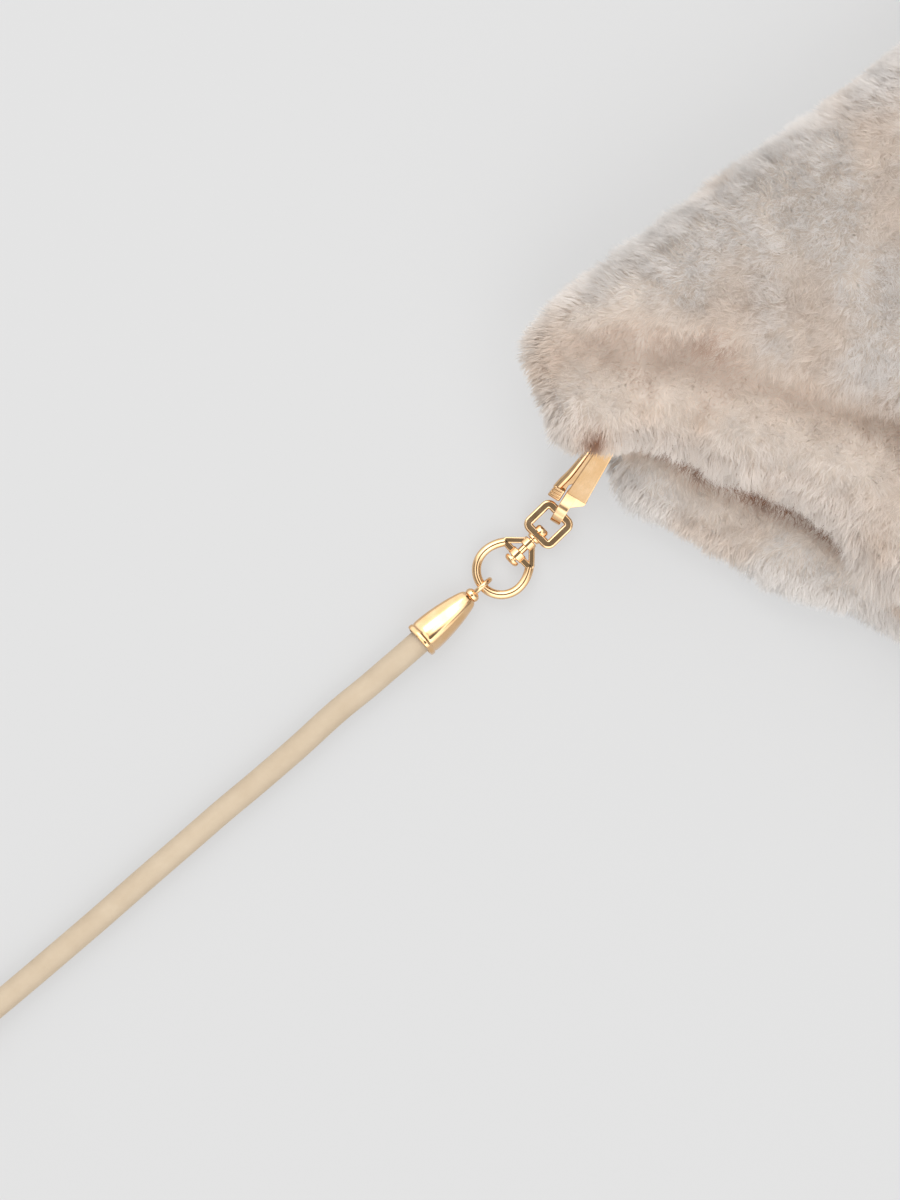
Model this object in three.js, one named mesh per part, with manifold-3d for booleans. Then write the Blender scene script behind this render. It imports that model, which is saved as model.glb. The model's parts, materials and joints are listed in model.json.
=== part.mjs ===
import * as THREE from 'three';
import * as BufferGeometryUtils from 'three/addons/utils/BufferGeometryUtils.js';
import Module from 'manifold-3d';

const wasm = await Module();
wasm.setup();

// Mitten, in millimetres: it lies palm down on z = 0, mouth towards -Y, centred on the origin
const MITTEN_LENGTH = 300;
const HEM_WIDTH = 172;
const WRIST_WIDTH = 106;
const HAND_WIDTH = 124;
const MITTEN_HEIGHT = 46;
const PALM_WALL = 14;
const BACK_WALL = 15;
const SIDE_WALL = 14;
const HEM_ROLL = 27;
const CREASE_DEPTH = 7;
const CREASE_SPREAD = 9;
const SEAM_HEIGHT = 20;
const LOCK_REACH = 5;
const LOCK_PITCH = 24;
const LOCK_LENGTH = 19;
const LOCK_SWAY = 0.25;
const BACK_SEED = 60;
const PALM_SEED = 500;
const LIP_SEED = 900;
const THUMB_SEED = 1300;
const HEM_LOCK_SHARE = 0.6;
const TIP_INSET_SHARE = 0.3;
const HEM_REACH = 0.25;
const PALM_FLATNESS = 1.3;
const FIRST_ROW = 0.02;
const LAST_ROW = 0.985;

// Thumb, on the side away from the clasp
const THUMB_WIDTH = 46;
const THUMB_HEIGHT = 39;
const THUMB_WALL = 12;
const THUMB_LENGTH = 86;
const THUMB_ROOT = { x: 40, y: -26 };
const THUMB_SPLAY = 24;
const THUMB_HOLLOW_END = 0.8;

// Chain of hardware from the cord to the mouth of the mitten
const SWIVEL_X = -54.8;
const SWIVEL_Y = -164.2;
const SWIVEL_TURN = -10;
const SWIVEL_HEIGHT = 2.95;
const LINK_SIZE = 9.8;
const LINK_BAR = 1.8;
const LINK_DEPTH = 2.4;
const LINK_CORNER = 2.2;
const POST_RADIUS = 0.9;
const RIVET_RADIUS = 2.0;
const RIVET_THICK = 1.3;
const CHAMFER = 0.35;
const FUSE = 0.3;
const COLLAR_RADIUS = 1.7;
const COLLAR_LENGTH = 0.6;
const RING_WIDTH = 14.4;
const RING_BAR_SPAN = 10.8;
const RING_BOW = 12.5;
const RING_ARCH = 3.8;
const RING_WIRE = 2.1;
const HUB_RADIUS = 2.1;

// Cord caps and cord
const CAP_LENGTH = 16.3;
const CAP_MOUTH = 9.1;
const CAP_NECK = 4.3;
const CAP_SOCKET_DEPTH = 3;
const CAP_SOCKET_ROOM = 0.7;
const CAP_TURN = -12.5;
const CAP_TILT = -3.6;
const EYE_OUTER = 6.4;
const EYE_WIRE = 1.3;
const EYE_STANDOFF = 0.8;
const EYE_NECK_RADIUS = 1.55;
const EYE_REST = { x: -0.4, y: -0.1, z: 0.2 };
const CORD_DIAMETER = 6;
const CORD_INSERT = 2;
const CORD_STEPS = 14;

// Clasp: a snap hook that rises from the swivel into the mouth
const CLASP_TILT = 27;
const CLASP_TURN = 4.3;
const NECK_EYE_RADIUS = 2.75;
const NECK_EYE_WALL = 0.75;
const NECK_WIDTH = 2.1;
const BAND_STANDOFF = 0.5;
const BAND_WIDTH = 5.6;
const BAND_LENGTH = 3.1;
const BODY_WIDTH = 5.3;
const BODY_TOP_WIDTH = 3.9;
const BODY_LENGTH = 17.7;
const BODY_THICK = 3.6;
const BODY_OFFSET = 1.4;
const SLOT_THICK = 1.9;
const SPINE_WALL = 0.75;
const HOOK_RADIUS = 3.6;
const HOOK_WIRE = 1.6;
const HOOK_DEPTH = 2.4;
const HOOK_STEM = 2.6;
const HOOK_OPEN = 20;
const LEVER_THICK = 1.3;
const LEVER_CHAMFER = 0.15;
const LEVER_ARM = 1.3;
const LEVER_KNOB = 3.4;
const LEVER_PIVOT = 15;
const PIVOT_INSET = 1.3;
const PIN_RADIUS = 0.6;

// Leather loop that the hook holds
const TAB_LENGTH = 22;
const TAB_WIDTH = 1.8;
const TAB_THICK = 1.1;
const TAB_TURN = 6;
const TAB_TILT = 5.5;
const TAB_ROOM = 2.4;

// Gap between neighbouring pieces
const GAP = 0.3;
const CLASP_ROOM = 1.2;

const RADIANS = Math.PI / 180;
const AROUND = 28;

// Outline of the mitten from the hem (along 0) to the fingertips (along 1). flare goes from the
// hand's width to the hem's, waist from the hand's width to the wrist's, taper and rise are shares
// of the width and of the height.
const OUTLINE = [
  { along: 0.0, flare: 1.0, waist: 0.0, taper: 1.0, rise: 0.84 },
  { along: 0.06, flare: 1.0, waist: 0.0, taper: 1.0, rise: 0.96 },
  { along: 0.1, flare: 0.94, waist: 0.0, taper: 1.0, rise: 0.98 },
  { along: 0.15, flare: 0.8, waist: 0.0, taper: 1.0, rise: 0.95 },
  { along: 0.25, flare: 0.5, waist: 0.02, taper: 1.0, rise: 0.95 },
  { along: 0.34, flare: 0.15, waist: 0.2, taper: 1.0, rise: 0.93 },
  { along: 0.44, flare: 0.0, waist: 0.8, taper: 1.0, rise: 0.9 },
  { along: 0.5, flare: 0.0, waist: 0.9, taper: 1.0, rise: 0.89 },
  { along: 0.58, flare: 0.0, waist: 0.45, taper: 1.0, rise: 0.95 },
  { along: 0.68, flare: 0.0, waist: 0.0, taper: 1.0, rise: 1.0 },
  { along: 0.78, flare: 0.0, waist: 0.0, taper: 0.98, rise: 1.0 },
  { along: 0.86, flare: 0.0, waist: 0.0, taper: 0.92, rise: 0.96 },
  { along: 0.92, flare: 0.0, waist: 0.0, taper: 0.79, rise: 0.9 },
  { along: 0.96, flare: 0.0, waist: 0.0, taper: 0.62, rise: 0.8 },
  { along: 0.985, flare: 0.0, waist: 0.0, taper: 0.43, rise: 0.68 },
  { along: 1.0, flare: 0.0, waist: 0.0, taper: 0.2, rise: 0.54 },
];

// Hem and crease lines from the left side (across -1) to the right (across 1). Each value is a
// distance from the hem's front in shares of the hem roll's width.
const HEM_LINES = [
  { across: -1.0, upper: 0.7, lower: 0.7, crease: 0.75 },
  { across: -0.9, upper: 0.36, lower: 0.6, crease: 0.85 },
  { across: -0.81, upper: 0.13, lower: 0.5, crease: 1.0 },
  { across: -0.7, upper: 0.16, lower: 0.38, crease: 1.2 },
  { across: -0.6, upper: 0.5, lower: 0.14, crease: 1.4 },
  { across: -0.5, upper: 0.57, lower: 0.02, crease: 1.53 },
  { across: -0.36, upper: 0.61, lower: 0.03, crease: 1.6 },
  { across: -0.19, upper: 0.74, lower: 0.09, crease: 1.75 },
  { across: 0.0, upper: 0.82, lower: 0.17, crease: 2.0 },
  { across: 0.2, upper: 0.84, lower: 0.4, crease: 2.05 },
  { across: 0.4, upper: 0.8, lower: 0.47, crease: 2.05 },
  { across: 0.7, upper: 0.52, lower: 0.52, crease: 1.8 },
  { across: 0.85, upper: 0.28, lower: 0.62, crease: 1.4 },
  { across: 1.0, upper: 0.7, lower: 0.7, crease: 0.9 },
];

// Thumb from its root inside the hand to its tip; full is a share of its width and height
const THUMB_OUTLINE = [
  { along: 0.0, full: 0.55 },
  { along: 0.15, full: 0.87 },
  { along: 0.3, full: 1.0 },
  { along: 0.6, full: 1.0 },
  { along: 0.72, full: 0.96 },
  { along: 0.82, full: 0.84 },
  { along: 0.9, full: 0.68 },
  { along: 0.96, full: 0.48 },
  { along: 1.0, full: 0.22 },
];

// Sections of a lock before its tip: rise is a share of its reach, run of its length and half of
// its width
const LOCK_SECTIONS = [
  { rise: -0.5, run: -0.1, half: 0.5 },
  { rise: 0.4, run: 0.3, half: 0.5 },
];

// Rings of the mitten's shell, from the far end of the hollow out over the lip and back to the
// fingertips. layer 0 is the lining, layer 1 the foot of the locks.
const SHELL_RINGS = [
  { along: 0.9, layer: 0 },
  { along: 0.82, layer: 0 },
  { along: 0.68, layer: 0 },
  { along: 0.44, layer: 0 },
  { along: 0.2, layer: 0 },
  { along: 0.05, layer: 0 },
  { along: 0.008, layer: 0.2 },
  { along: 0.0, layer: 0.55 },
  { along: 0.014, layer: 0.88 },
  { along: 0.035, layer: 1 },
  { along: 0.065, layer: 1 },
  { along: 0.095, layer: 1 },
  { along: 0.125, layer: 1 },
  { along: 0.155, layer: 1 },
  { along: 0.22, layer: 1 },
  { along: 0.32, layer: 1 },
  { along: 0.44, layer: 1 },
  { along: 0.54, layer: 1 },
  { along: 0.66, layer: 1 },
  { along: 0.78, layer: 1 },
  { along: 0.87, layer: 1 },
  { along: 0.92, layer: 1 },
  { along: 0.96, layer: 1 },
  { along: 0.985, layer: 1 },
  { along: 1.0, layer: 1 },
];

// Cord caps from the mouth to the neck; half is between the neck's half width and the mouth's.
const CAP_PROFILE = [
  { along: 0.0, half: 0.96 },
  { along: 0.02, half: 1.0 },
  { along: 0.09, half: 1.0 },
  { along: 0.11, half: 0.92 },
  { along: 0.3, half: 0.74 },
  { along: 0.6, half: 0.38 },
  { along: 1.0, half: 0.0 },
];

// One side of the ring's bow from the bar down; across is a share of the bow's half width, drop of
// its depth
const RING_SIDE = [
  { across: 0.96, drop: 0.22 },
  { across: 1.0, drop: 0.48 },
  { across: 0.72, drop: 0.86 },
];

// Left edge of the lever from the hook back to the knob: out is a distance from the body's left
// side in shares of the knob's width, along a share of the body's length
const LEVER_EDGE = [
  { out: 0.28, along: 0.77 },
  { out: 0.38, along: 0.28 },
  { out: 0.9, along: 0.034 },
  { out: 1.12, along: -0.19 },
];

// Free cord: points chosen along the floor from inside the near cap to inside the far one
const CORD_ROUTE = [
  [-62.96, -203.74, 4.5],
  [-63.4, -205.7, 4.45],
  [-64.6, -211.0, 4.1],
  [-65.9, -216.5, 3.6],
  [-67.3, -222.4, 3.2],
  [-69.8, -231.9, 3.05],
  [-72.4, -244.5, 3.05],
  [-75.4, -257.3, 3.05],
  [-78.0, -267.6, 3.05],
  [-80.5, -278.4, 3.05],
  [-83.6, -291.7, 3.05],
  [-87.2, -307.5, 3.05],
  [-91.0, -323.4, 3.05],
  [-93.2, -332.4, 3.3],
  [-94.9, -339.2, 3.75],
  [-96.3, -344.8, 4.2],
  [-97.45, -349.45, 4.45],
  [-97.93, -351.4, 4.5],
];

const FUR = new THREE.MeshStandardMaterial({ color: 0xc3b4a7, roughness: 1, metalness: 0 });
const GOLD = new THREE.MeshStandardMaterial({ color: 0xe0b468, roughness: 0.2, metalness: 1 });
const CORD_LEATHER = new THREE.MeshStandardMaterial({ color: 0xdccbb2, roughness: 0.6, metalness: 0 });
const TAB_LEATHER = new THREE.MeshStandardMaterial({ color: 0x8a5f43, roughness: 0.6, metalness: 0 });

// Value of a table's column at a place between its rows
function readTable(table, key, column, at) {
  const next = table.findIndex((row) => row[key] >= at);
  if (next <= 0) {
    return next === 0 ? table[0][column] : table[table.length - 1][column];
  }
  const from = table[next - 1];
  const to = table[next];
  const share = (at - from[key]) / (to[key] - from[key]);
  return from[column] + (to[column] - from[column]) * share;
}

// Repeatable unevenness between -1 and 1 for the locks
function uneven(seed) {
  const wave = Math.sin(seed * 12.9898) * 43758.5453;
  return 2 * (wave - Math.floor(wave)) - 1;
}

// Closed body through rings of as many points each, ended by fans or joined end to end
function loft(rings, { looped = false, startTip = null, endTip = null } = {}) {
  const count = rings[0].length;
  const points = rings.flat();
  const faces = [];
  const spans = looped ? rings.length : rings.length - 1;
  for (let ring = 0; ring < spans; ring += 1) {
    const here = ring * count;
    const next = ((ring + 1) % rings.length) * count;
    for (let k = 0; k < count; k += 1) {
      const side = (k + 1) % count;
      faces.push([here + k, here + side, next + side]);
      faces.push([here + k, next + side, next + k]);
    }
  }
  if (!looped) {
    const middle = (ring) => ring.reduce((sum, p) => sum.add(p), new THREE.Vector3()).divideScalar(count);
    const last = (rings.length - 1) * count;
    points.push(startTip ?? middle(rings[0]));
    points.push(endTip ?? middle(rings[rings.length - 1]));
    for (let k = 0; k < count; k += 1) {
      const side = (k + 1) % count;
      faces.push([points.length - 2, side, k]);
      faces.push([points.length - 1, last + k, last + side]);
    }
  }
  return closedGeometry(points, faces);
}

// Geometry with its faces turned outwards
function closedGeometry(points, faces) {
  const volume = faces.reduce((sum, [a, b, c]) => {
    const normal = new THREE.Vector3().crossVectors(points[b], points[c]);
    return sum + points[a].dot(normal);
  }, 0);
  const index = faces.flatMap(([a, b, c]) => (volume > 0 ? [a, b, c] : [a, c, b]));
  const geometry = new THREE.BufferGeometry();
  const coordinates = points.flatMap((p) => [p.x, p.y, p.z]);
  geometry.setAttribute('position', new THREE.Float32BufferAttribute(coordinates, 3));
  geometry.setIndex(index);
  return geometry;
}

// Solid for joining and cutting, from a closed geometry
function solidOf(geometry) {
  const bare = geometry.clone();
  bare.deleteAttribute('normal');
  bare.deleteAttribute('uv');
  const merged = BufferGeometryUtils.mergeVertices(bare, 1e-5);
  return new wasm.Manifold(new wasm.Mesh({
    numProp: 3,
    vertProperties: new Float32Array(merged.attributes.position.array),
    triVerts: new Uint32Array(merged.index.array),
  }));
}

// Geometry of a joined or cut solid
function geometryOf(solid) {
  const mesh = solid.getMesh();
  const geometry = new THREE.BufferGeometry();
  geometry.setAttribute('position', new THREE.Float32BufferAttribute(mesh.vertProperties, 3));
  geometry.setIndex(Array.from(mesh.triVerts));
  return geometry;
}

function namedMesh(name, geometry, material) {
  const mesh = new THREE.Mesh(geometry, material);
  mesh.name = name;
  return mesh;
}

// Largest of the bodies that a cut leaves
function mainBody(solid) {
  const bodies = solid.decompose();
  return bodies.reduce((best, body) => (body.volume() > best.volume() ? body : best));
}

// Box given by its low and high corners
function boxSolid(low, high) {
  const size = high.map((value, axis) => value - low[axis]);
  const box = new THREE.BoxGeometry(...size);
  box.translate(...low.map((value, axis) => value + size[axis] / 2));
  return solidOf(box);
}

// Half width of the mitten at a share of its length
function halfWidth(along) {
  const flare = readTable(OUTLINE, 'along', 'flare', along);
  const waist = readTable(OUTLINE, 'along', 'waist', along);
  const taper = readTable(OUTLINE, 'along', 'taper', along);
  const straight = HAND_WIDTH + (HEM_WIDTH - HAND_WIDTH) * flare - (HAND_WIDTH - WRIST_WIDTH) * waist;
  return (straight / 2) * taper;
}

// Place along Y: near the mouth it follows the uneven hem of the upper or the lower layer
function stationY(along, angle, inset) {
  const column = Math.sin(angle) >= 0 ? 'upper' : 'lower';
  const hem = readTable(HEM_LINES, 'across', column, Math.cos(angle)) * HEM_ROLL;
  const reach = Math.max(0, 1 - along / HEM_REACH);
  const start = -MITTEN_LENGTH / 2 + (LOCK_LENGTH * HEM_LOCK_SHARE * inset) / LOCK_REACH;
  const end = MITTEN_LENGTH / 2 - inset * TIP_INSET_SHARE;
  return start + (end - start) * along + hem * reach ** 1.5;
}

// Height of the outer fur over a point, with the rolled hem and the crease behind it
function outerTop(along, angle, y) {
  const rise = readTable(OUTLINE, 'along', 'rise', along) * MITTEN_HEIGHT;
  const crease = readTable(HEM_LINES, 'across', 'crease', Math.cos(angle)) * HEM_ROLL;
  const away = (y + MITTEN_LENGTH / 2 - crease) / CREASE_SPREAD;
  return rise - CREASE_DEPTH * Math.exp(-away * away);
}

// Point of the mitten's outside, inset under its outline
function outerPoint(along, angle, inset) {
  const half = halfWidth(along) - inset;
  const y = stationY(along, angle, inset);
  const lift = Math.abs(Math.sin(angle));
  const top = outerTop(along, angle, y) - inset;
  const bottom = Math.min(1, PALM_FLATNESS * lift ** 0.8);
  const z = Math.sin(angle) >= 0
    ? SEAM_HEIGHT + (top - SEAM_HEIGHT) * lift ** 0.6
    : SEAM_HEIGHT * (1 - bottom);
  return new THREE.Vector3(half * Math.cos(angle), y, z);
}

// Point of the hollow's wall
function innerPoint(along, angle) {
  const half = halfWidth(along) - SIDE_WALL;
  const y = stationY(along, angle, LOCK_REACH);
  const top = readTable(OUTLINE, 'along', 'rise', along) * MITTEN_HEIGHT - BACK_WALL;
  const middle = (PALM_WALL + top) / 2;
  const lift = Math.abs(Math.sin(angle)) ** 0.5;
  const z = middle + Math.sign(Math.sin(angle)) * ((top - PALM_WALL) / 2) * lift;
  return new THREE.Vector3(half * Math.cos(angle), y, z);
}

function ringOf(count, pointAt) {
  return Array.from({ length: count }, (_, k) => pointAt((k / count) * 2 * Math.PI));
}

// Hollow shell that carries the locks
function shellSolid() {
  const rings = SHELL_RINGS.map(({ along, layer }) => ringOf(AROUND, (angle) => (
    innerPoint(along, angle).lerp(outerPoint(along, angle, LOCK_REACH), layer)
  )));
  return solidOf(loft(rings));
}

// The shell's outside alone, without its hollow
function fullSolid(inset) {
  const rows = SHELL_RINGS.filter(({ along, layer }) => layer === 1 && along > 0.1);
  return solidOf(loft(rows.map(({ along }) => ringOf(AROUND, (angle) => outerPoint(along, angle, inset)))));
}

// One lock of fur: a bent four-sided tuft that leans along the pile
function lockSolid(foot, outward, pile, width, length, seed) {
  const sideways = new THREE.Vector3().crossVectors(outward, pile).normalize();
  const drift = uneven(seed) * LOCK_SWAY;
  const lean = pile.clone().addScaledVector(sideways, drift).normalize();
  const upward = new THREE.Vector3().crossVectors(lean, sideways).normalize();
  if (upward.dot(outward) < 0) {
    upward.negate();
  }
  const at = (rise, run) => foot.clone().addScaledVector(outward, rise).addScaledVector(lean, run);
  const rings = LOCK_SECTIONS.map(({ rise, run, half }) => ringOf(4, (angle) => (
    at(LOCK_REACH * rise, length * run)
      .addScaledVector(sideways, width * half * Math.cos(angle))
      .addScaledVector(upward, width * half * 0.4 * Math.sin(angle))
  )));
  const tipRise = LOCK_REACH * (0.75 + 0.2 * uneven(seed + 0.5));
  return solidOf(loft(rings, { endTip: at(tipRise, length) }));
}

// Locks in rows over a surface given by pointAt(along, angle); rows run from the hem to the tip
function locksOver(pointAt, rows, seedStart) {
  const locks = [];
  let seed = seedStart;
  rows.forEach(({ along, from, to }, row) => {
    const start = pointAt(along, from);
    const end = pointAt(along, to);
    const middle = pointAt(along, (from + to) / 2);
    const span = start.distanceTo(middle) + middle.distanceTo(end);
    const count = Math.max(1, Math.round(span / LOCK_PITCH));
    for (let k = 0; k < count; k += 1) {
      seed += 1;
      const shift = (row % 2 ? 0.25 : -0.25) + 0.15 * uneven(seed);
      const angle = from + ((to - from) * (k + 0.5 + shift)) / count;
      const foot = pointAt(along, angle);
      const around = pointAt(along, angle + 0.03).sub(foot);
      const onward = pointAt(Math.max(0, along - 0.01), angle).sub(foot);
      const outward = new THREE.Vector3().crossVectors(around, onward).normalize();
      if (outward.dot(new THREE.Vector3(Math.cos(angle), 0, Math.sin(angle))) < 0) {
        outward.negate();
      }
      const width = LOCK_PITCH * (0.95 + 0.12 * uneven(seed + 0.3));
      const length = LOCK_LENGTH * (1 + 0.15 * uneven(seed + 0.7));
      locks.push(lockSolid(foot, outward, onward.normalize(), width, length, seed));
    }
  });
  return wasm.Manifold.union(locks);
}

// Thumb axis from its root inside the hand to its tip
function thumbAxis(share) {
  const turn = THUMB_SPLAY * RADIANS;
  return {
    x: THUMB_ROOT.x + Math.sin(turn) * THUMB_LENGTH * share,
    y: THUMB_ROOT.y + Math.cos(turn) * THUMB_LENGTH * share,
  };
}

// Point of the thumb's outside at a share of its length
function thumbPoint(share, angle, inset) {
  const round = readTable(THUMB_OUTLINE, 'along', 'full', share);
  const half = (THUMB_WIDTH / 2 - inset) * round;
  const lift = Math.abs(Math.sin(angle));
  const swell = (1 + round) / 2;
  const top = SEAM_HEIGHT + (THUMB_HEIGHT - inset - SEAM_HEIGHT) * swell;
  const bottom = Math.min(1, PALM_FLATNESS * lift ** 0.8) * swell;
  const z = Math.sin(angle) >= 0
    ? SEAM_HEIGHT + (top - SEAM_HEIGHT) * lift ** 0.7
    : SEAM_HEIGHT * (1 - bottom);
  const turn = THUMB_SPLAY * RADIANS;
  const { x, y } = thumbAxis(share);
  const across = half * Math.cos(angle);
  return new THREE.Vector3(x + Math.cos(turn) * across, y - Math.sin(turn) * across, z);
}

// Hollow of the thumb, reaching back into the hand's hollow
function thumbHollow() {
  const half = THUMB_WIDTH / 2 - THUMB_WALL;
  const top = THUMB_HEIGHT - THUMB_WALL;
  const turn = THUMB_SPLAY * RADIANS;
  const rings = [0, 0.3, 0.6, 0.7, THUMB_HOLLOW_END].map((share) => ringOf(12, (angle) => {
    const round = share === THUMB_HOLLOW_END ? 0.75 : 1;
    const { x, y } = thumbAxis(share);
    const across = half * round * Math.cos(angle);
    const middle = (PALM_WALL + top) / 2;
    const z = middle + ((top - PALM_WALL) / 2) * round * Math.sin(angle);
    return new THREE.Vector3(x + Math.cos(turn) * across, y - Math.sin(turn) * across, z);
  }));
  return solidOf(loft(rings));
}

// The thumb's outside, inset under its outline
function thumbSolid(inset) {
  return solidOf(loft(THUMB_OUTLINE.map(({ along }) => (
    ringOf(18, (angle) => thumbPoint(along, angle, inset))
  ))));
}

function placeClasp(object) {
  object.rotation.set(CLASP_TILT * RADIANS, 0, CLASP_TURN * RADIANS, 'ZYX');
  const reach = (LINK_SIZE - LINK_BAR) / 2;
  const turn = SWIVEL_TURN * RADIANS;
  object.position.set(
    SWIVEL_X - Math.sin(turn) * reach,
    SWIVEL_Y + Math.cos(turn) * reach,
    SWIVEL_HEIGHT,
  );
  object.updateMatrixWorld(true);
  return object;
}

// Room in the fur for the clasp and its lever, in the clasp's own frame
function claspRoom() {
  const length = NECK_EYE_RADIUS + BAND_LENGTH + BODY_LENGTH + HOOK_STEM + HOOK_RADIUS;
  const room = new THREE.BoxGeometry(
    BODY_WIDTH + LEVER_KNOB + 2 * CLASP_ROOM,
    length + 2 * CLASP_ROOM,
    BODY_THICK + 2 * CLASP_ROOM,
  );
  room.translate((BODY_OFFSET - LEVER_KNOB + CLASP_ROOM) / 2, length / 2, 0);
  room.applyMatrix4(placeClasp(new THREE.Object3D()).matrixWorld);
  return solidOf(room);
}

// Fur panels and thumb
const far = MITTEN_LENGTH * 2;
const aboveSeam = boxSolid([-far, -far, SEAM_HEIGHT + GAP / 2], [far, far, far]);
const belowSeam = boxSolid([-far, -far, 0], [far, far, SEAM_HEIGHT - GAP / 2]);

const backRows = [];
for (let along = FIRST_ROW; along < LAST_ROW; along += LOCK_PITCH / MITTEN_LENGTH) {
  backRows.push({ along, from: 0.02 * Math.PI, to: 0.98 * Math.PI });
}
const palmRows = [];
for (let along = FIRST_ROW * 1.5; along < LAST_ROW; along += (LOCK_PITCH * 1.15) / MITTEN_LENGTH) {
  palmRows.push({ along, from: -0.1 * Math.PI, to: 0.0 });
  palmRows.push({ along, from: 1.0 * Math.PI, to: 1.1 * Math.PI });
}
const lowerLipRows = [{ along: 0.012, from: 1.08 * Math.PI, to: 1.92 * Math.PI }];

const outside = (along, angle) => outerPoint(along, angle, LOCK_REACH);
const lowerLip = (along, angle) => innerPoint(along, angle).lerp(outerPoint(along, angle, LOCK_REACH), 0.3);

const shell = shellSolid();
const thumbTunnel = thumbHollow();
const thumbRoom = thumbSolid(-2 * GAP);
const clearance = claspRoom();

const backLocks = locksOver(outside, backRows, BACK_SEED).subtract(thumbRoom);
const palmLocks = locksOver(outside, palmRows, PALM_SEED).subtract(thumbRoom)
  .subtract(thumbRoom.translate([0, 0, -GAP]))
  .add(locksOver(lowerLip, lowerLipRows, LIP_SEED));
const openings = thumbTunnel.add(clearance);
const backPanel = mainBody(shell.add(backLocks).intersect(aboveSeam).subtract(openings));
const palmPanel = mainBody(shell.add(palmLocks).intersect(belowSeam).subtract(openings));

const thumbRows = [0.38, 0.58, 0.78, 0.92].map((share) => (
  { along: share, from: -0.05 * Math.PI, to: 1.05 * Math.PI }
));
const thumbOutside = (share, angle) => thumbPoint(share, angle, LOCK_REACH);
const thumbLocks = locksOver(thumbOutside, thumbRows, THUMB_SEED).intersect(thumbSolid(0));
const handSide = fullSolid(LOCK_REACH - GAP);
const thumb = mainBody(
  thumbSolid(LOCK_REACH).add(thumbLocks).subtract(thumbTunnel)
    .subtract(handSide).subtract(handSide.translate([0, 0, -GAP])),
);

// Place along the swivel's axis, in the plane of the floor, from the square link's middle
function onSwivel(along) {
  const turn = SWIVEL_TURN * RADIANS;
  return new THREE.Vector3(
    SWIVEL_X - Math.sin(turn) * along,
    SWIVEL_Y + Math.cos(turn) * along,
    SWIVEL_HEIGHT,
  );
}

// Rod with round section between two points
function rodSolid(from, to, radius, sides = 10) {
  const length = from.distanceTo(to);
  const rod = new THREE.CylinderGeometry(radius, radius, length, sides);
  const direction = to.clone().sub(from).normalize();
  const turn = new THREE.Quaternion().setFromUnitVectors(new THREE.Vector3(0, 1, 0), direction);
  rod.applyQuaternion(turn);
  rod.translate(...from.clone().add(to).multiplyScalar(0.5).toArray());
  return solidOf(rod);
}

// Closed wire through points in the plane z = 0, with a six-sided section
function wireLoopSolid(points, wire, steps) {
  const curve = new THREE.CatmullRomCurve3(points, true, 'centripetal');
  const up = new THREE.Vector3(0, 0, 1);
  const rings = Array.from({ length: steps }, (_, step) => {
    const centre = curve.getPointAt(step / steps);
    const outward = new THREE.Vector3().crossVectors(curve.getTangentAt(step / steps), up).normalize();
    return ringOf(6, (angle) => centre.clone()
      .addScaledVector(outward, (wire / 2) * Math.cos(angle))
      .addScaledVector(up, (wire / 2) * Math.sin(angle)));
  });
  return solidOf(loft(rings, { looped: true }));
}

// Square with round corners
function roundedSquare(size, corner) {
  const half = size / 2;
  const shape = new THREE.Shape();
  shape.absarc(half - corner, half - corner, corner, 0, Math.PI / 2);
  shape.absarc(corner - half, half - corner, corner, Math.PI / 2, Math.PI);
  shape.absarc(corner - half, corner - half, corner, Math.PI, 1.5 * Math.PI);
  shape.absarc(half - corner, corner - half, corner, 1.5 * Math.PI, 2 * Math.PI);
  shape.closePath();
  return shape;
}

// Extruded plate with chamfered edges, centred on z = 0
function plateSolid(shape, thick, chamfer, curveSegments = 2) {
  const plate = new THREE.ExtrudeGeometry(shape, {
    depth: thick - 2 * chamfer,
    bevelEnabled: true,
    bevelThickness: chamfer,
    bevelSize: chamfer,
    bevelOffset: -chamfer,
    bevelSegments: 1,
    curveSegments,
  });
  plate.translate(0, 0, chamfer - thick / 2);
  return solidOf(plate);
}

// Square link: the link itself, its post through the ring's hub and arch, collar and rivet head
const ringCentre = -(LINK_SIZE / 2 + COLLAR_LENGTH + GAP + RING_WIRE / 2 + RING_ARCH);
const linkInside = LINK_SIZE - 2 * LINK_BAR;
const linkOutline = roundedSquare(LINK_SIZE, LINK_CORNER);
linkOutline.holes.push(roundedSquare(linkInside, LINK_CORNER * 0.5));
const hubFace = RING_WIRE / 2 + GAP;
const local = (x, y, z = 0) => new THREE.Vector3(x, y, z);
const linkFoot = -LINK_SIZE / 2 + LINK_BAR * 0.4;
const archFace = ringCentre + RING_ARCH + RING_WIRE / 2 + GAP;
const swivelLink = plateSolid(linkOutline, LINK_DEPTH, CHAMFER)
  .add(rodSolid(local(0, ringCentre - hubFace), local(0, linkFoot), POST_RADIUS))
  .add(rodSolid(local(0, archFace), local(0, linkFoot), COLLAR_RADIUS))
  .add(rodSolid(local(0, ringCentre - hubFace - RIVET_THICK), local(0, ringCentre - hubFace), RIVET_RADIUS));

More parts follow.
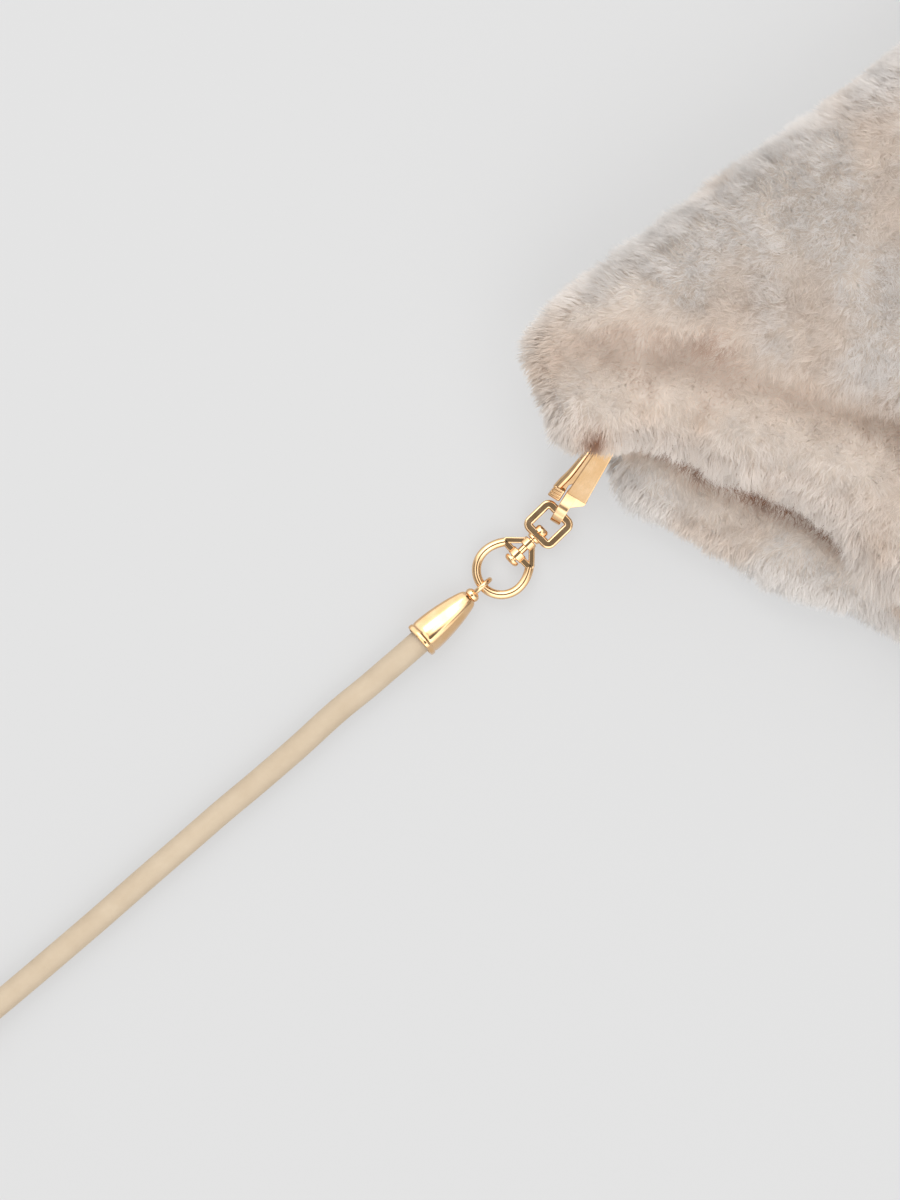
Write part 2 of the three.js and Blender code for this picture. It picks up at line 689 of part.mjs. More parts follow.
// D-ring: bow, cross bar with its hub, and the arch that holds the post's other end
const barEnd = (RING_BAR_SPAN - RING_WIRE) / 2;
const bowHalf = (RING_WIDTH - RING_WIRE) / 2;
const bowFoot = RING_WIRE / 2 - RING_BOW;
const ringPath = [
  local(barEnd, 0),
  ...RING_SIDE.map(({ across, drop }) => local(bowHalf * across, bowFoot * drop)),
  local(0, bowFoot),
  ...RING_SIDE.toReversed().map(({ across, drop }) => local(-bowHalf * across, bowFoot * drop)),
  local(-barEnd, 0),
  local(-barEnd * 0.5, RING_ARCH * 0.68),
  local(0, RING_ARCH),
  local(barEnd * 0.5, RING_ARCH * 0.68),
];
const hubReach = RING_WIRE / 2;
const swivelRing = wireLoopSolid(ringPath, RING_WIRE, 32)
  .add(rodSolid(local(-barEnd, 0), local(barEnd, 0), RING_WIRE / 2, 8))
  .add(rodSolid(local(0, -hubReach), local(0, hubReach), HUB_RADIUS))
  .add(rodSolid(local(0, RING_ARCH - hubReach), local(0, RING_ARCH + hubReach), COLLAR_RADIUS))
  .subtract(rodSolid(local(0, -2 * hubReach), local(0, RING_ARCH + 2 * hubReach), POST_RADIUS + GAP));

// Cord cap with its eye; the cap's mouth is at the origin and it runs along +Y
function capSolid() {
  const rings = CAP_PROFILE.map(({ along, half }) => {
    const reach = (CAP_NECK + (CAP_MOUTH - CAP_NECK) * half) / 2;
    return ringOf(12, (angle) => {
      const across = Math.sign(Math.cos(angle)) * Math.abs(Math.cos(angle)) ** 0.7;
      const rise = Math.sign(Math.sin(angle)) * Math.abs(Math.sin(angle)) ** 0.7;
      return local(reach * across, CAP_LENGTH * along, reach * rise);
    });
  });
  const eyeRadius = (EYE_OUTER - EYE_WIRE) / 2;
  const eye = new THREE.TorusGeometry(eyeRadius, EYE_WIRE / 2, 6, 14);
  eye.rotateY(Math.PI / 2);
  eye.translate(0, CAP_LENGTH + EYE_STANDOFF + EYE_OUTER / 2, 0);
  const neckEnd = CAP_LENGTH + EYE_STANDOFF + EYE_WIRE;
  const neck = rodSolid(local(0, CAP_LENGTH - 4 * FUSE), local(0, neckEnd), EYE_NECK_RADIUS, 8);
  const socketRadius = CORD_DIAMETER / 2 + CAP_SOCKET_ROOM;
  const eyeHole = rodSolid(
    local(-EYE_WIRE * 2, CAP_LENGTH + EYE_STANDOFF + EYE_OUTER / 2),
    local(EYE_WIRE * 2, CAP_LENGTH + EYE_STANDOFF + EYE_OUTER / 2),
    EYE_OUTER / 2 - EYE_WIRE,
    12,
  );
  return solidOf(loft(rings))
    .add(solidOf(eye))
    .add(neck.subtract(eyeHole))
    .subtract(rodSolid(local(0, -1), local(0, CAP_SOCKET_DEPTH), socketRadius, 16));
}

// Clasp in its own frame: neck eye at the origin, hook towards +Y, engraved face towards +Z
const bandFoot = NECK_EYE_RADIUS + BAND_STANDOFF;
const bodyFoot = bandFoot + BAND_LENGTH;
const bodyTop = bodyFoot + BODY_LENGTH;
const hookCentre = { x: BODY_OFFSET, y: bodyTop + HOOK_STEM };
const hookInside = HOOK_RADIUS - HOOK_WIRE;

function outlineShape(corners) {
  const shape = new THREE.Shape();
  corners.forEach(([x, y], k) => (k === 0 ? shape.moveTo(x, y) : shape.lineTo(x, y)));
  shape.closePath();
  return shape;
}

// Hook: a stem on the right that curls over to the left
function hookShape() {
  const { x, y } = hookCentre;
  const shape = new THREE.Shape();
  const bodyRight = BODY_OFFSET + BODY_TOP_WIDTH / 2;
  shape.moveTo(bodyRight - SPINE_WALL, bodyTop - HOOK_WIRE);
  shape.lineTo(bodyRight + GAP / 2, bodyTop - HOOK_WIRE);
  shape.lineTo(x + HOOK_RADIUS, y);
  shape.absarc(x, y, HOOK_RADIUS, 0, Math.PI + HOOK_OPEN * RADIANS, false);
  shape.absarc(x, y, hookInside, Math.PI + HOOK_OPEN * RADIANS, 0, true);
  shape.closePath();
  return shape;
}

const bodyLeft = BODY_OFFSET - BODY_WIDTH / 2;
const pivot = { x: bodyLeft + PIVOT_INSET, y: LEVER_PIVOT };
const slotRight = BODY_OFFSET + BODY_TOP_WIDTH / 2 - SPINE_WALL;
const bodyOutline = outlineShape([
  [bodyLeft, bodyFoot],
  [bodyLeft + BODY_WIDTH, bodyFoot],
  [BODY_OFFSET + BODY_TOP_WIDTH / 2, bodyTop],
  [BODY_OFFSET - BODY_TOP_WIDTH / 2, bodyTop],
]);
const bandOutline = outlineShape([
  [BODY_OFFSET - BAND_WIDTH / 2, bandFoot],
  [BODY_OFFSET + BAND_WIDTH / 2, bandFoot],
  [BODY_OFFSET + BAND_WIDTH / 2, bodyFoot + FUSE],
  [BODY_OFFSET - BAND_WIDTH / 2, bodyFoot + FUSE],
]);
const slotFoot = bodyFoot + SPINE_WALL + 1.5 * GAP;
const slot = boxSolid(
  [slotRight - 2 * BODY_WIDTH, slotFoot, -SLOT_THICK / 2],
  [slotRight, bodyTop + 1, SLOT_THICK / 2],
);
const neckEye = rodSolid(local(-NECK_WIDTH / 2, 0), local(NECK_WIDTH / 2, 0), NECK_EYE_RADIUS, 14)
  .add(boxSolid([-NECK_WIDTH / 2, 0, 0], [NECK_WIDTH / 2, bandFoot + FUSE, NECK_EYE_RADIUS * 0.8]))
  .subtract(rodSolid(local(-NECK_WIDTH, 0), local(NECK_WIDTH, 0), NECK_EYE_RADIUS - NECK_EYE_WALL, 14));
const pin = rodSolid(
  local(pivot.x, pivot.y, -SLOT_THICK / 2 - FUSE),
  local(pivot.x, pivot.y, SLOT_THICK / 2 + FUSE),
  PIN_RADIUS,
  10,
);
const claspBody = plateSolid(bodyOutline, BODY_THICK, CHAMFER)
  .add(plateSolid(bandOutline, BODY_THICK - CHAMFER, CHAMFER))
  .add(plateSolid(hookShape(), HOOK_DEPTH, CHAMFER, 8))
  .subtract(slot)
  .add(neckEye)
  .add(pin);

// Lever: knob at the foot, arm along the body's left side, nose under the hook's tip
const leverNose = hookCentre.y - HOOK_RADIUS * Math.sin(HOOK_OPEN * RADIANS) - GAP * 2;
const noseLeft = hookCentre.x - HOOK_RADIUS + GAP / 2;
const leverOutline = outlineShape([
  [bodyLeft - 2 * GAP, bodyFoot - LEVER_KNOB],
  [bodyLeft - 2 * GAP, slotFoot + GAP],
  [pivot.x + GAP, slotFoot + 2 * LEVER_ARM],
  [pivot.x + LEVER_ARM, LEVER_PIVOT],
  [noseLeft + LEVER_ARM + GAP, bodyTop - 2 * LEVER_ARM],
  [noseLeft + LEVER_ARM, leverNose],
  [noseLeft, leverNose],
  ...LEVER_EDGE.map(({ out, along }) => [bodyLeft - LEVER_KNOB * out, bodyFoot + BODY_LENGTH * along]),
]);
const pinHole = rodSolid(
  local(pivot.x, pivot.y, -LEVER_THICK),
  local(pivot.x, pivot.y, LEVER_THICK),
  PIN_RADIUS + GAP,
  12,
);
const knobRight = bodyLeft - 1.5 * GAP;
const knobOutline = outlineShape([
  [knobRight - LEVER_KNOB, bodyFoot - LEVER_KNOB],
  [knobRight, bodyFoot - LEVER_KNOB],
  [knobRight, bodyFoot],
  [knobRight - LEVER_KNOB, bodyFoot],
]);
const claspLever = plateSolid(leverOutline, LEVER_THICK, LEVER_CHAMFER)
  .add(plateSolid(knobOutline, BODY_THICK - 2 * GAP, CHAMFER))
  .subtract(pinHole);

// Leather loop: an oval band upright around the hook's top, its far end on the floor of the hollow
function tabRing(reach, x) {
  const run = TAB_LENGTH / 2 + reach;
  const rise = TAB_ROOM + TAB_THICK + reach;
  return ringOf(20, (angle) => {
    const share = Math.sign(Math.cos(angle)) * Math.abs(Math.cos(angle)) ** 0.8;
    const lift = Math.sign(Math.sin(angle)) * Math.abs(Math.sin(angle)) ** 0.75;
    return local(x, run * share, rise * lift);
  });
}

function tabSolid() {
  const edge = TAB_WIDTH / 2;
  const rings = [tabRing(0, -edge), tabRing(0, edge), tabRing(-TAB_THICK, edge), tabRing(-TAB_THICK, -edge)];
  return solidOf(loft(rings, { looped: true }));
}

function placed(name, solid, material, position, turn, tilt = 0) {
  const mesh = namedMesh(name, geometryOf(solid), material);
  mesh.position.copy(position);
  mesh.rotation.set(tilt * RADIANS, 0, turn * RADIANS, 'ZYX');
  return mesh;
}

function placeTab(object) {
  const hookTop = placeClasp(new THREE.Object3D())
    .localToWorld(local(hookCentre.x - GAP * 0.7, hookCentre.y + HOOK_RADIUS - HOOK_WIRE / 2, 0));
  object.rotation.set(TAB_TILT * RADIANS, 0, TAB_TURN * RADIANS, 'ZYX');
  const run = TAB_LENGTH / 2 - TAB_THICK - TAB_ROOM * 0.9;
  object.position.copy(hookTop.add(local(0, run, 0).applyEuler(object.rotation)));
  object.updateMatrixWorld(true);
  return object;
}

// Round cord along its route
function cordGeometry() {
  const section = new THREE.Shape();
  section.absarc(0, 0, CORD_DIAMETER / 2, 0, 2 * Math.PI);
  const route = new THREE.CatmullRomCurve3(CORD_ROUTE.map((point) => local(...point)), false, 'centripetal');
  return new THREE.ExtrudeGeometry(section, {
    steps: CORD_STEPS,
    bevelEnabled: false,
    curveSegments: 5,
    extrudePath: route,
  });
}

const tabRoom = loft([tabRing(GAP, -TAB_WIDTH / 2 - GAP), tabRing(GAP, TAB_WIDTH / 2 + GAP)]);
tabRoom.applyMatrix4(placeTab(new THREE.Object3D()).matrixWorld);
const backCut = mainBody(backPanel.subtract(solidOf(tabRoom)));
const palmCut = mainBody(palmPanel.subtract(solidOf(tabRoom)));

const claspFrame = placeClasp(new THREE.Group());
claspFrame.add(namedMesh('clasp_body', geometryOf(claspBody), GOLD));
claspFrame.add(namedMesh('clasp_lever', geometryOf(claspLever), GOLD));

// The near cap's eye hangs on the ring's bow; the far cap takes the cord's other end
const eyeReach = CAP_LENGTH + EYE_STANDOFF + EYE_OUTER / 2;
const eyeCentre = onSwivel(ringCentre + bowFoot).add(
  local(EYE_REST.x, EYE_REST.y, EYE_OUTER / 2 - SWIVEL_HEIGHT + EYE_REST.z),
);
const capAim = new THREE.Euler(CAP_TILT * RADIANS, 0, CAP_TURN * RADIANS, 'ZYX');
const nearMouth = eyeCentre.sub(local(0, eyeReach, 0).applyEuler(capAim));
const cordEnd = local(...CORD_ROUTE[CORD_ROUTE.length - 1]);
const cordLast = local(...CORD_ROUTE[CORD_ROUTE.length - 3]);
const farTurn = Math.atan2(cordLast.x - cordEnd.x, cordEnd.y - cordLast.y) / RADIANS;
const farMouth = local(
  cordEnd.x + Math.sin(farTurn * RADIANS) * CORD_INSERT,
  cordEnd.y - Math.cos(farTurn * RADIANS) * CORD_INSERT,
  nearMouth.z,
);

const mitten = new THREE.Group();
mitten.add(namedMesh('back_panel', geometryOf(backCut), FUR));
mitten.add(namedMesh('palm_panel', geometryOf(palmCut), FUR));
mitten.add(namedMesh('thumb', geometryOf(thumb), FUR));
mitten.add(claspFrame);
mitten.add(placed('swivel_link', swivelLink, GOLD, onSwivel(0), SWIVEL_TURN));
mitten.add(placed('swivel_ring', swivelRing, GOLD, onSwivel(ringCentre), SWIVEL_TURN));
mitten.add(placeTab(namedMesh('hanger_loop', geometryOf(tabSolid()), TAB_LEATHER)));
mitten.add(placed('cord_cap_near', capSolid(), GOLD, nearMouth, CAP_TURN, CAP_TILT));
mitten.add(placed('cord_cap_far', capSolid(), GOLD, farMouth, farTurn, CAP_TILT));
mitten.add(namedMesh('cord', cordGeometry(), CORD_LEATHER));

export default mitten;
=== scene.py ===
import json
import math

import bmesh
import bpy
import numpy as np
from mathutils import Matrix, Vector

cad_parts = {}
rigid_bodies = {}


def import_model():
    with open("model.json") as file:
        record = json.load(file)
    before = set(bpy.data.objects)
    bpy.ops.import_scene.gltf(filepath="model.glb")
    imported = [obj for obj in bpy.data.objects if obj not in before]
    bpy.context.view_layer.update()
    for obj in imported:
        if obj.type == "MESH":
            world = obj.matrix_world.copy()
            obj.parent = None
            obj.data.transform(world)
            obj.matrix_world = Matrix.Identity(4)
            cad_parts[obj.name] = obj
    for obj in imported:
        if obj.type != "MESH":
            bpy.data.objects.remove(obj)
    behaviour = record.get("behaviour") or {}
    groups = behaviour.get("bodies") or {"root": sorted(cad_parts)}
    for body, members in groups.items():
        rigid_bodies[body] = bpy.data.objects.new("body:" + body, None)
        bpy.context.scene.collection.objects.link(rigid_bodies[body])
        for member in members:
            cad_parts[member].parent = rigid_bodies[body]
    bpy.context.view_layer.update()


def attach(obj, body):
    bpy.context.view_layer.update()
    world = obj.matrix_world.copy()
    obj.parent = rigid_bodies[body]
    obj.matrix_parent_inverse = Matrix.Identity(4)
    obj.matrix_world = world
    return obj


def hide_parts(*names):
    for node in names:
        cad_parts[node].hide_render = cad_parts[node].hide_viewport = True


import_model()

MM = 0.001
BODY = "mitten"
LEVER_BODY = "lever"

# Sizes of the mitten in millimetres, as the frame has them
MITTEN_LENGTH = 300.0
HEM_WIDTH = 172.0
WRIST_WIDTH = 106.0
HAND_WIDTH = 124.0
MITTEN_HEIGHT = 46.0
PALM_WALL = 14.0
BACK_WALL = 15.0
SIDE_WALL = 14.0
HEM_ROLL = 27.0
CREASE_DEPTH = 7.0
CREASE_SPREAD = 9.0
SEAM_HEIGHT = 20.0
HEM_REACH = 0.25
PALM_FLATNESS = 1.3

# Backing of the fur in millimetres: how far it lies under the tips of the pile, and its own forms
PILE_DEPTH = 5.2
SIDE_PILE_DEPTH = 7.0
CORNER_REACH = 3.0
CORNER_POINT = 5.5
HEM_BULGE = 2.0
HEM_PILE_DEPTH = 5.5
UPPER_HEM_EXTRA = 1.5
UPPER_HEM_LAP = 4.5
LIP_FLOOR = 11.5
LUMP_HEIGHT = 0.65
BACKING_FLOOR = 1.6

# Shares of the mitten's length at which the lip's round and the hollow end
LIP_REACH = 0.045
HOLLOW_END = 0.88

# Forms of the upper hem: middle and spread, as shares of the cuff's half width
LAP_ACROSS = (0.19, 0.12)
BULGE_ACROSS = (-0.78, 0.07)

# Thumb, in millimetres and radians
THUMB_WIDTH = 46.0
THUMB_HEIGHT = 39.0
THUMB_LENGTH = 86.0
THUMB_ROOT = (40.0, -26.0)
THUMB_SPLAY = math.radians(24)

# Shares of the mitten's width and height at shares of its length
OUTLINE = {
    "places": (0, 0.06, 0.1, 0.15, 0.25, 0.34, 0.44, 0.5, 0.58, 0.68, 0.78, 0.86, 0.92, 0.96, 0.985, 1),
    "flare": (1, 1, 0.94, 0.8, 0.5, 0.15, 0, 0, 0, 0, 0, 0, 0, 0, 0, 0),
    "waist": (0, 0, 0, 0, 0.02, 0.2, 0.8, 0.9, 0.45, 0, 0, 0, 0, 0, 0, 0),
    "taper": (1, 1, 1, 1, 1, 1, 1, 1, 1, 1, 0.98, 0.92, 0.79, 0.62, 0.43, 0.2),
    "rise": (0.84, 0.96, 0.98, 0.95, 0.95, 0.93, 0.9, 0.89, 0.95, 1, 1, 0.96, 0.9, 0.8, 0.68, 0.54),
}
# Where the hem's lines run, in widths of its roll, from one side of the cuff to the other
HEM_LINES = {
    "places": (-1, -0.9, -0.81, -0.7, -0.6, -0.5, -0.36, -0.19, 0, 0.2, 0.4, 0.7, 0.85, 1),
    "upper": (0.7, 0.36, 0.13, 0.16, 0.5, 0.57, 0.61, 0.74, 0.82, 0.84, 0.8, 0.52, 0.28, 0.7),
    "lower": (0.7, 0.6, 0.5, 0.38, 0.14, 0.02, 0.03, 0.09, 0.17, 0.4, 0.47, 0.52, 0.62, 0.7),
    "crease": (0.75, 0.85, 1, 1.2, 1.4, 1.53, 1.6, 1.75, 2, 2.05, 2.05, 1.8, 1.4, 0.9),
}
THUMB_OUTLINE = {
    "places": (0, 0.15, 0.3, 0.6, 0.72, 0.82, 0.9, 0.96, 1),
    "full": (0.55, 0.87, 1, 1, 0.96, 0.84, 0.68, 0.48, 0.22),
}


# ---- Objects and nodes


def add_object(name, data):
    """New object of the scene"""
    made = bpy.data.objects.new(name, data)
    bpy.context.collection.objects.link(made)
    return made


def feed(tree, node, inputs):
    """Inputs of a node by their labels, each a value of its own or an output that is linked to it"""
    for label, value in inputs.items():
        if isinstance(value, bpy.types.NodeSocket):
            tree.links.new(value, node.inputs[label])
        else:
            node.inputs[label].default_value = value


def add_node(tree, kind, inputs=None, **settings):
    """Outputs of a new node, made with its settings and its inputs"""
    node = tree.nodes.new("ShaderNode" + kind)
    for label, value in settings.items():
        setattr(node, label, value)
    feed(tree, node, inputs or {})
    return node.outputs


def add_ramp(tree, share, stops):
    """Colour that a share reads from stops, each a place and a colour"""
    node = tree.nodes.new("ShaderNodeValToRGB")
    elements = node.color_ramp.elements
    for element, (place, color) in zip(elements, (stops[0], stops[-1])):
        element.position, element.color = place, (*color, 1)
    for place, color in stops[1:-1]:
        elements.new(place).color = (*color, 1)
    tree.links.new(share, node.inputs["Fac"])
    return node.outputs["Color"]


def add_bump(tree, shader, height, strength, distance):
    """Fine relief on a shader"""
    relief = add_node(tree, "Bump", {"Height": height, "Strength": strength, "Distance": distance})
    feed(tree, shader, {"Normal": relief["Normal"]})


def plain_material(name):
    """New node material, its tree and its Principled shader"""
    material = bpy.data.materials.new(name)
    material.use_nodes = True
    return material, material.node_tree, material.node_tree.nodes["Principled BSDF"]


# ---- Camera, floor and light


def place_camera():
    """Camera straight above, turned as the picture is, far enough to keep heights in scale"""
    lens, film, long_side = 150.0, 36.0, 294.0
    aim, turn = (-63.4, -193.3), math.radians(36)
    camera = add_object("camera", bpy.data.cameras.new("camera"))
    camera.data.lens = lens
    camera.data.sensor_fit = "VERTICAL"
    camera.data.sensor_height = film
    camera.data.clip_end = 20.0
    camera.location = Vector((*aim, lens * long_side / film)) * MM
    camera.rotation_euler = (0.0, 0.0, turn)
    bpy.context.scene.camera = camera


def add_softbox(name, place, aim, side, watts):
    """Square soft light that faces a point"""
    light = add_object(name, bpy.data.lights.new(name, "AREA"))
    light.data.shape = "RECTANGLE"
    light.data.size, light.data.size_y = side, side
    light.data.energy = watts
    light.location = place
    light.rotation_euler = (Vector(aim) - Vector(place)).to_track_quat("-Z", "Y").to_euler()


# Turn of the boxes and of the dark gaps between them round the part
SKY_TURN = math.radians(160)


def lay_floor():
    """Glowing paper just under the mitten"""
    reach, gap = 4.0, 0.0003
    corners = [(-reach, -reach, 0), (reach, -reach, 0), (reach, reach, 0), (-reach, reach, 0)]
    mesh = bpy.data.meshes.new("studio_floor")
    mesh.from_pydata(corners, [], [(0, 1, 2, 3)])
    floor = add_object("studio_floor", mesh)
    floor.location.z = -gap
    paper, tree, shader = plain_material("studio_paper")
    looks = {"Base Color": (0.16, 0.16, 0.16, 1), "Roughness": 0.9, "Specular IOR Level": 0.0}
    looks |= {"Emission Color": (1, 1, 1, 1), "Emission Strength": 0.517}
    feed(tree, shader, looks)
    mesh.materials.append(paper)


def light_world():
    """Light from two pale boxes at opposite sides with dark gaps, and a dark spot overhead"""
    world = bpy.data.worlds.new("studio_air")
    world.use_nodes = True
    tree = world.node_tree
    axes = add_node(tree, "SeparateXYZ", {"Vector": add_node(tree, "TexCoord")["Generated"]})
    levels = ((0.1, 0.6), (0.75, 1.0), (0.93, 1.0), (0.965, 0.12))
    sky = add_ramp(tree, axes["Z"], [(place, (level, level, level)) for place, level in levels])
    bearing = add_node(tree, "Math", {0: axes["Y"], 1: axes["X"]}, operation="ARCTAN2")
    turn = add_node(tree, "Math", {0: bearing["Value"], 1: 2.0, 2: SKY_TURN}, operation="MULTIPLY_ADD")
    wave = add_node(tree, "Math", {0: turn["Value"]}, operation="SINE")
    spread = {"Value": wave["Value"], "From Min": -0.5, "From Max": 0.3, "To Min": 0.3, "To Max": 1.25}
    boxes = add_node(tree, "MapRange", spread, interpolation_type="SMOOTHSTEP")
    spread = {"Value": axes["Z"], "From Min": 0.72, "From Max": 0.86}
    overhead = add_node(tree, "MapRange", spread, interpolation_type="SMOOTHSTEP")
    level = add_node(tree, "Mix", {"Factor": overhead["Result"], "A": boxes["Result"], "B": 1.15})
    lit = add_node(tree, "VectorMath", {0: sky, "Scale": level["Result"]}, operation="SCALE")
    feed(tree, tree.nodes["Background"], {"Color": lit["Vector"], "Strength": 1.8})
    bpy.context.scene.world = world


def set_studio():
    lay_floor()
    light_world()
    bpy.context.scene.view_settings.view_transform = "Standard"
    cuff = (-0.05, -0.15, 0)
    add_softbox("key_softbox", (-0.9, 0.5, 1.3), cuff, 1.1, 6.5)
    add_softbox("fill_softbox", (0.9, -0.9, 1.5), cuff, 1.4, 5)


place_camera()
set_studio()


# ---- Cord

CORD_DIAMETER = 6.0
SEAM_DEPTH = 0.16
SEAM_HEADING = math.radians(318)
SEAM_SPREAD = 0.07
SHARP_ANGLE = math.radians(38)
CORD_ROUTE = (
    (-62.96, -203.74, 4.5), (-63.4, -205.7, 4.45), (-64.6, -211.0, 4.1),
    (-65.9, -216.5, 3.6), (-67.3, -222.4, 3.2), (-69.8, -231.9, 3.05),
    (-72.4, -244.5, 3.05), (-75.4, -257.3, 3.05), (-78.0, -267.6, 3.05),
    (-80.5, -278.4, 3.05), (-83.6, -291.7, 3.05), (-87.2, -307.5, 3.05),
    (-91.0, -323.4, 3.05), (-93.2, -332.4, 3.3), (-94.9, -339.2, 3.75),
    (-96.3, -344.8, 4.2), (-97.45, -349.45, 4.45), (-97.93, -351.4, 4.5),
)


def unit(vectors):
    return vectors / np.maximum(np.linalg.norm(vectors, axis=-1, keepdims=True), 1e-9)


def spline_points(route, steps):
    """Points of a smooth line through every point of a route, a number of steps for each stretch"""
    places = np.array(route, dtype=float)
    padded = np.concatenate([2 * places[:1] - places[1:2], places, 2 * places[-1:] - places[-2:-1]])
    share = np.linspace(0, 1, steps, endpoint=False)[:, None]
    line = []
    for k in range(len(padded) - 3):
        before, first, second, after = padded[k : k + 4]
        line.append(
            first
            + share * (second - before) / 2
            + share**2 * (before - 2.5 * first + 2 * second - after / 2)
            + share**3 * (1.5 * (first - second) + (after - before) / 2)
        )
    return np.concatenate(line + [places[-1:]])


def line_frames(line, upward, closed):
    """Side and top directions of a line's cross-sections"""
    if closed:
        along = unit(np.roll(line, -1, axis=0) - np.roll(line, 1, axis=0))
    else:
        along = unit(np.gradient(line, axis=0))
    side = unit(np.cross(along, np.broadcast_to(np.array(upward, dtype=float), line.shape)))
    return side, unit(np.cross(side, along))


def swept(line, section, upward=(0, 0, 1), closed=False, sizes=None):
    """Part of rings: a section, pairs of side and top distances, carried along a line"""
    side, top = line_frames(line, upward, closed)
    sizes = np.ones(len(line)) if sizes is None else np.array(sizes)
    section = np.array(section)[None] * sizes[:, None, None]
    return line[:, None] + side[:, None] * section[..., :1] + top[:, None] * section[..., 1:], closed


def full_turn(count):
    """Headings evenly round a circle"""
    return np.linspace(0, 2 * math.pi, count, endpoint=False)


def on_circle(headings):
    return np.stack([np.cos(headings), np.sin(headings)], axis=-1)


def round_section(radius, sides):
    return on_circle(full_turn(sides)) * radius


def bar_section(width, height, edge, steps=4):
    """Rectangle with round edges"""
    turn = np.linspace(0, math.pi / 2, steps + 1)
    corners = []
    for k, (x, y) in enumerate(((1, 1), (-1, 1), (-1, -1), (1, -1))):
        middle = np.array([x * (width / 2 - edge), y * (height / 2 - edge)])
        corners.append(middle + edge * on_circle(turn + k * math.pi / 2))
    return np.concatenate(corners)


def ring_faces(index):
    """Faces between the rings of a grid of point numbers"""
    beside = np.roll(index, -1, axis=1)
    return np.stack([index[:-1], beside[:-1], beside[1:], index[1:]], axis=-1).reshape(-1, 4)


def face_outward(mesh, close_ends=False):
    """Every face of a mesh turned outward, after its open ends are closed"""
    work = bmesh.new()
    work.from_mesh(mesh)
    if close_ends:
        bmesh.ops.holes_fill(work, edges=[edge for edge in work.edges if edge.is_boundary])
    bmesh.ops.recalc_face_normals(work, faces=work.faces)
    work.to_mesh(mesh)
    work.free()


def hard_piece(name, parts, matrix=None):
    """One object of several closed parts. A part is rings of points and whether the last meets the first"""
    points, faces, offset = [], [], 0
    for rings, looped in parts:
        count, around = rings.shape[:2]
        index = offset + np.arange(count * around).reshape(count, around)
        if looped:
            index = np.concatenate([index, index[:1]])
        faces += ring_faces(index).tolist()
        if not looped:
            faces += [index[0].tolist(), index[-1][::-1].tolist()]
        points.append(rings.reshape(-1, 3))
        offset += count * around
    mesh = bpy.data.meshes.new(name)
    mesh.from_pydata((np.concatenate(points) * MM).tolist(), [], faces)
    face_outward(mesh)
    if matrix is not None:
        mesh.transform(matrix)
    mesh.shade_smooth()
    mesh.set_sharp_from_angle(angle=SHARP_ANGLE)
    piece = add_object(name, mesh)
    even = piece.modifiers.new("even_shading", "WEIGHTED_NORMAL")
    even.keep_sharp = True
    ready = piece.evaluated_get(bpy.context.evaluated_depsgraph_get())
    piece.data = bpy.data.meshes.new_from_object(ready)
    piece.modifiers.clear()
    return piece


def held(values):
    """Values held between 0 and 1"""
    return np.clip(values, 0, 1)


def bell(values, centre, spread):
    """1 at the centre, fading to nothing on both sides"""
    return np.exp(-(((values - centre) / spread) ** 2))


def lay_cord():
    """Round leather cord with a fine seam along its lower right side"""
    line = spline_points(CORD_ROUTE, 9)
    turn = full_turn(48)
    radius = CORD_DIAMETER / 2 - SEAM_DEPTH * bell(turn, SEAM_HEADING, SEAM_SPREAD)
    cord = hard_piece("leather_cord", [swept(line, on_circle(turn) * radius[:, None])])
    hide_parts("cord")
    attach(cord, BODY)
    return cord, line


leather_cord, cord_line = lay_cord()


# ---- Fur: backing


def table_value(table, name, at):
    return np.interp(at, table["places"], table[name])


def half_width(along):
    flare = table_value(OUTLINE, "flare", along)
    waist = table_value(OUTLINE, "waist", along)
    straight = HAND_WIDTH + (HEM_WIDTH - HAND_WIDTH) * flare - (HAND_WIDTH - WRIST_WIDTH) * waist
    return straight / 2 * table_value(OUTLINE, "taper", along)


def station_y(along, angle):
    """Place along the mitten of a share of its length, the wavy hem at its start"""
    across = np.cos(angle)
    upper = table_value(HEM_LINES, "upper", across)
    lower = table_value(HEM_LINES, "lower", across)
    hem = np.where(np.sin(angle) >= 0, upper, lower) * HEM_ROLL
    reach = np.maximum(0, 1 - along / HEM_REACH)
    above = held(2.5 * np.sin(angle))
    drawn_back = UPPER_HEM_EXTRA * above * held((across + 0.5) * 3)
    drawn_back = drawn_back - UPPER_HEM_LAP * above * bell(across, *LAP_ACROSS)
    drawn_back = drawn_back - CORNER_POINT * held((-0.84 - across) / 0.14)
    drawn_back = drawn_back - HEM_BULGE * bell(across, *BULGE_ACROSS)
    start = -MITTEN_LENGTH / 2 + HEM_PILE_DEPTH + drawn_back
    end = MITTEN_LENGTH / 2 - PILE_DEPTH * 0.6
    return start + (end - start) * along + hem * reach**1.5


def section_height(angle, top, roundness, swell=1):
    """Height round a section of the backing: domed above its seam, flat where it rests"""
    lift = np.abs(np.sin(angle))
    upper = SEAM_HEIGHT + (top - SEAM_HEIGHT) * lift**roundness
    lower = SEAM_HEIGHT * (1 - np.minimum(1, PALM_FLATNESS * lift**0.8) * swell)
    return np.where(np.sin(angle) >= 0, upper, np.maximum(lower, BACKING_FLOOR))


def mitten_outside(along, angle):
    half = half_width(along) - SIDE_PILE_DEPTH + CORNER_REACH * bell(along, 0, 0.07)
    y = station_y(along, angle)
    crease = table_value(HEM_LINES, "crease", np.cos(angle)) * HEM_ROLL
    away = (y + MITTEN_LENGTH / 2 - crease) / CREASE_SPREAD
    top = table_value(OUTLINE, "rise", along) * MITTEN_HEIGHT
    top = top - CREASE_DEPTH * np.exp(-away * away) - PILE_DEPTH
    return np.stack([half * np.cos(angle), y, section_height(angle, top, 0.6)], axis=-1)


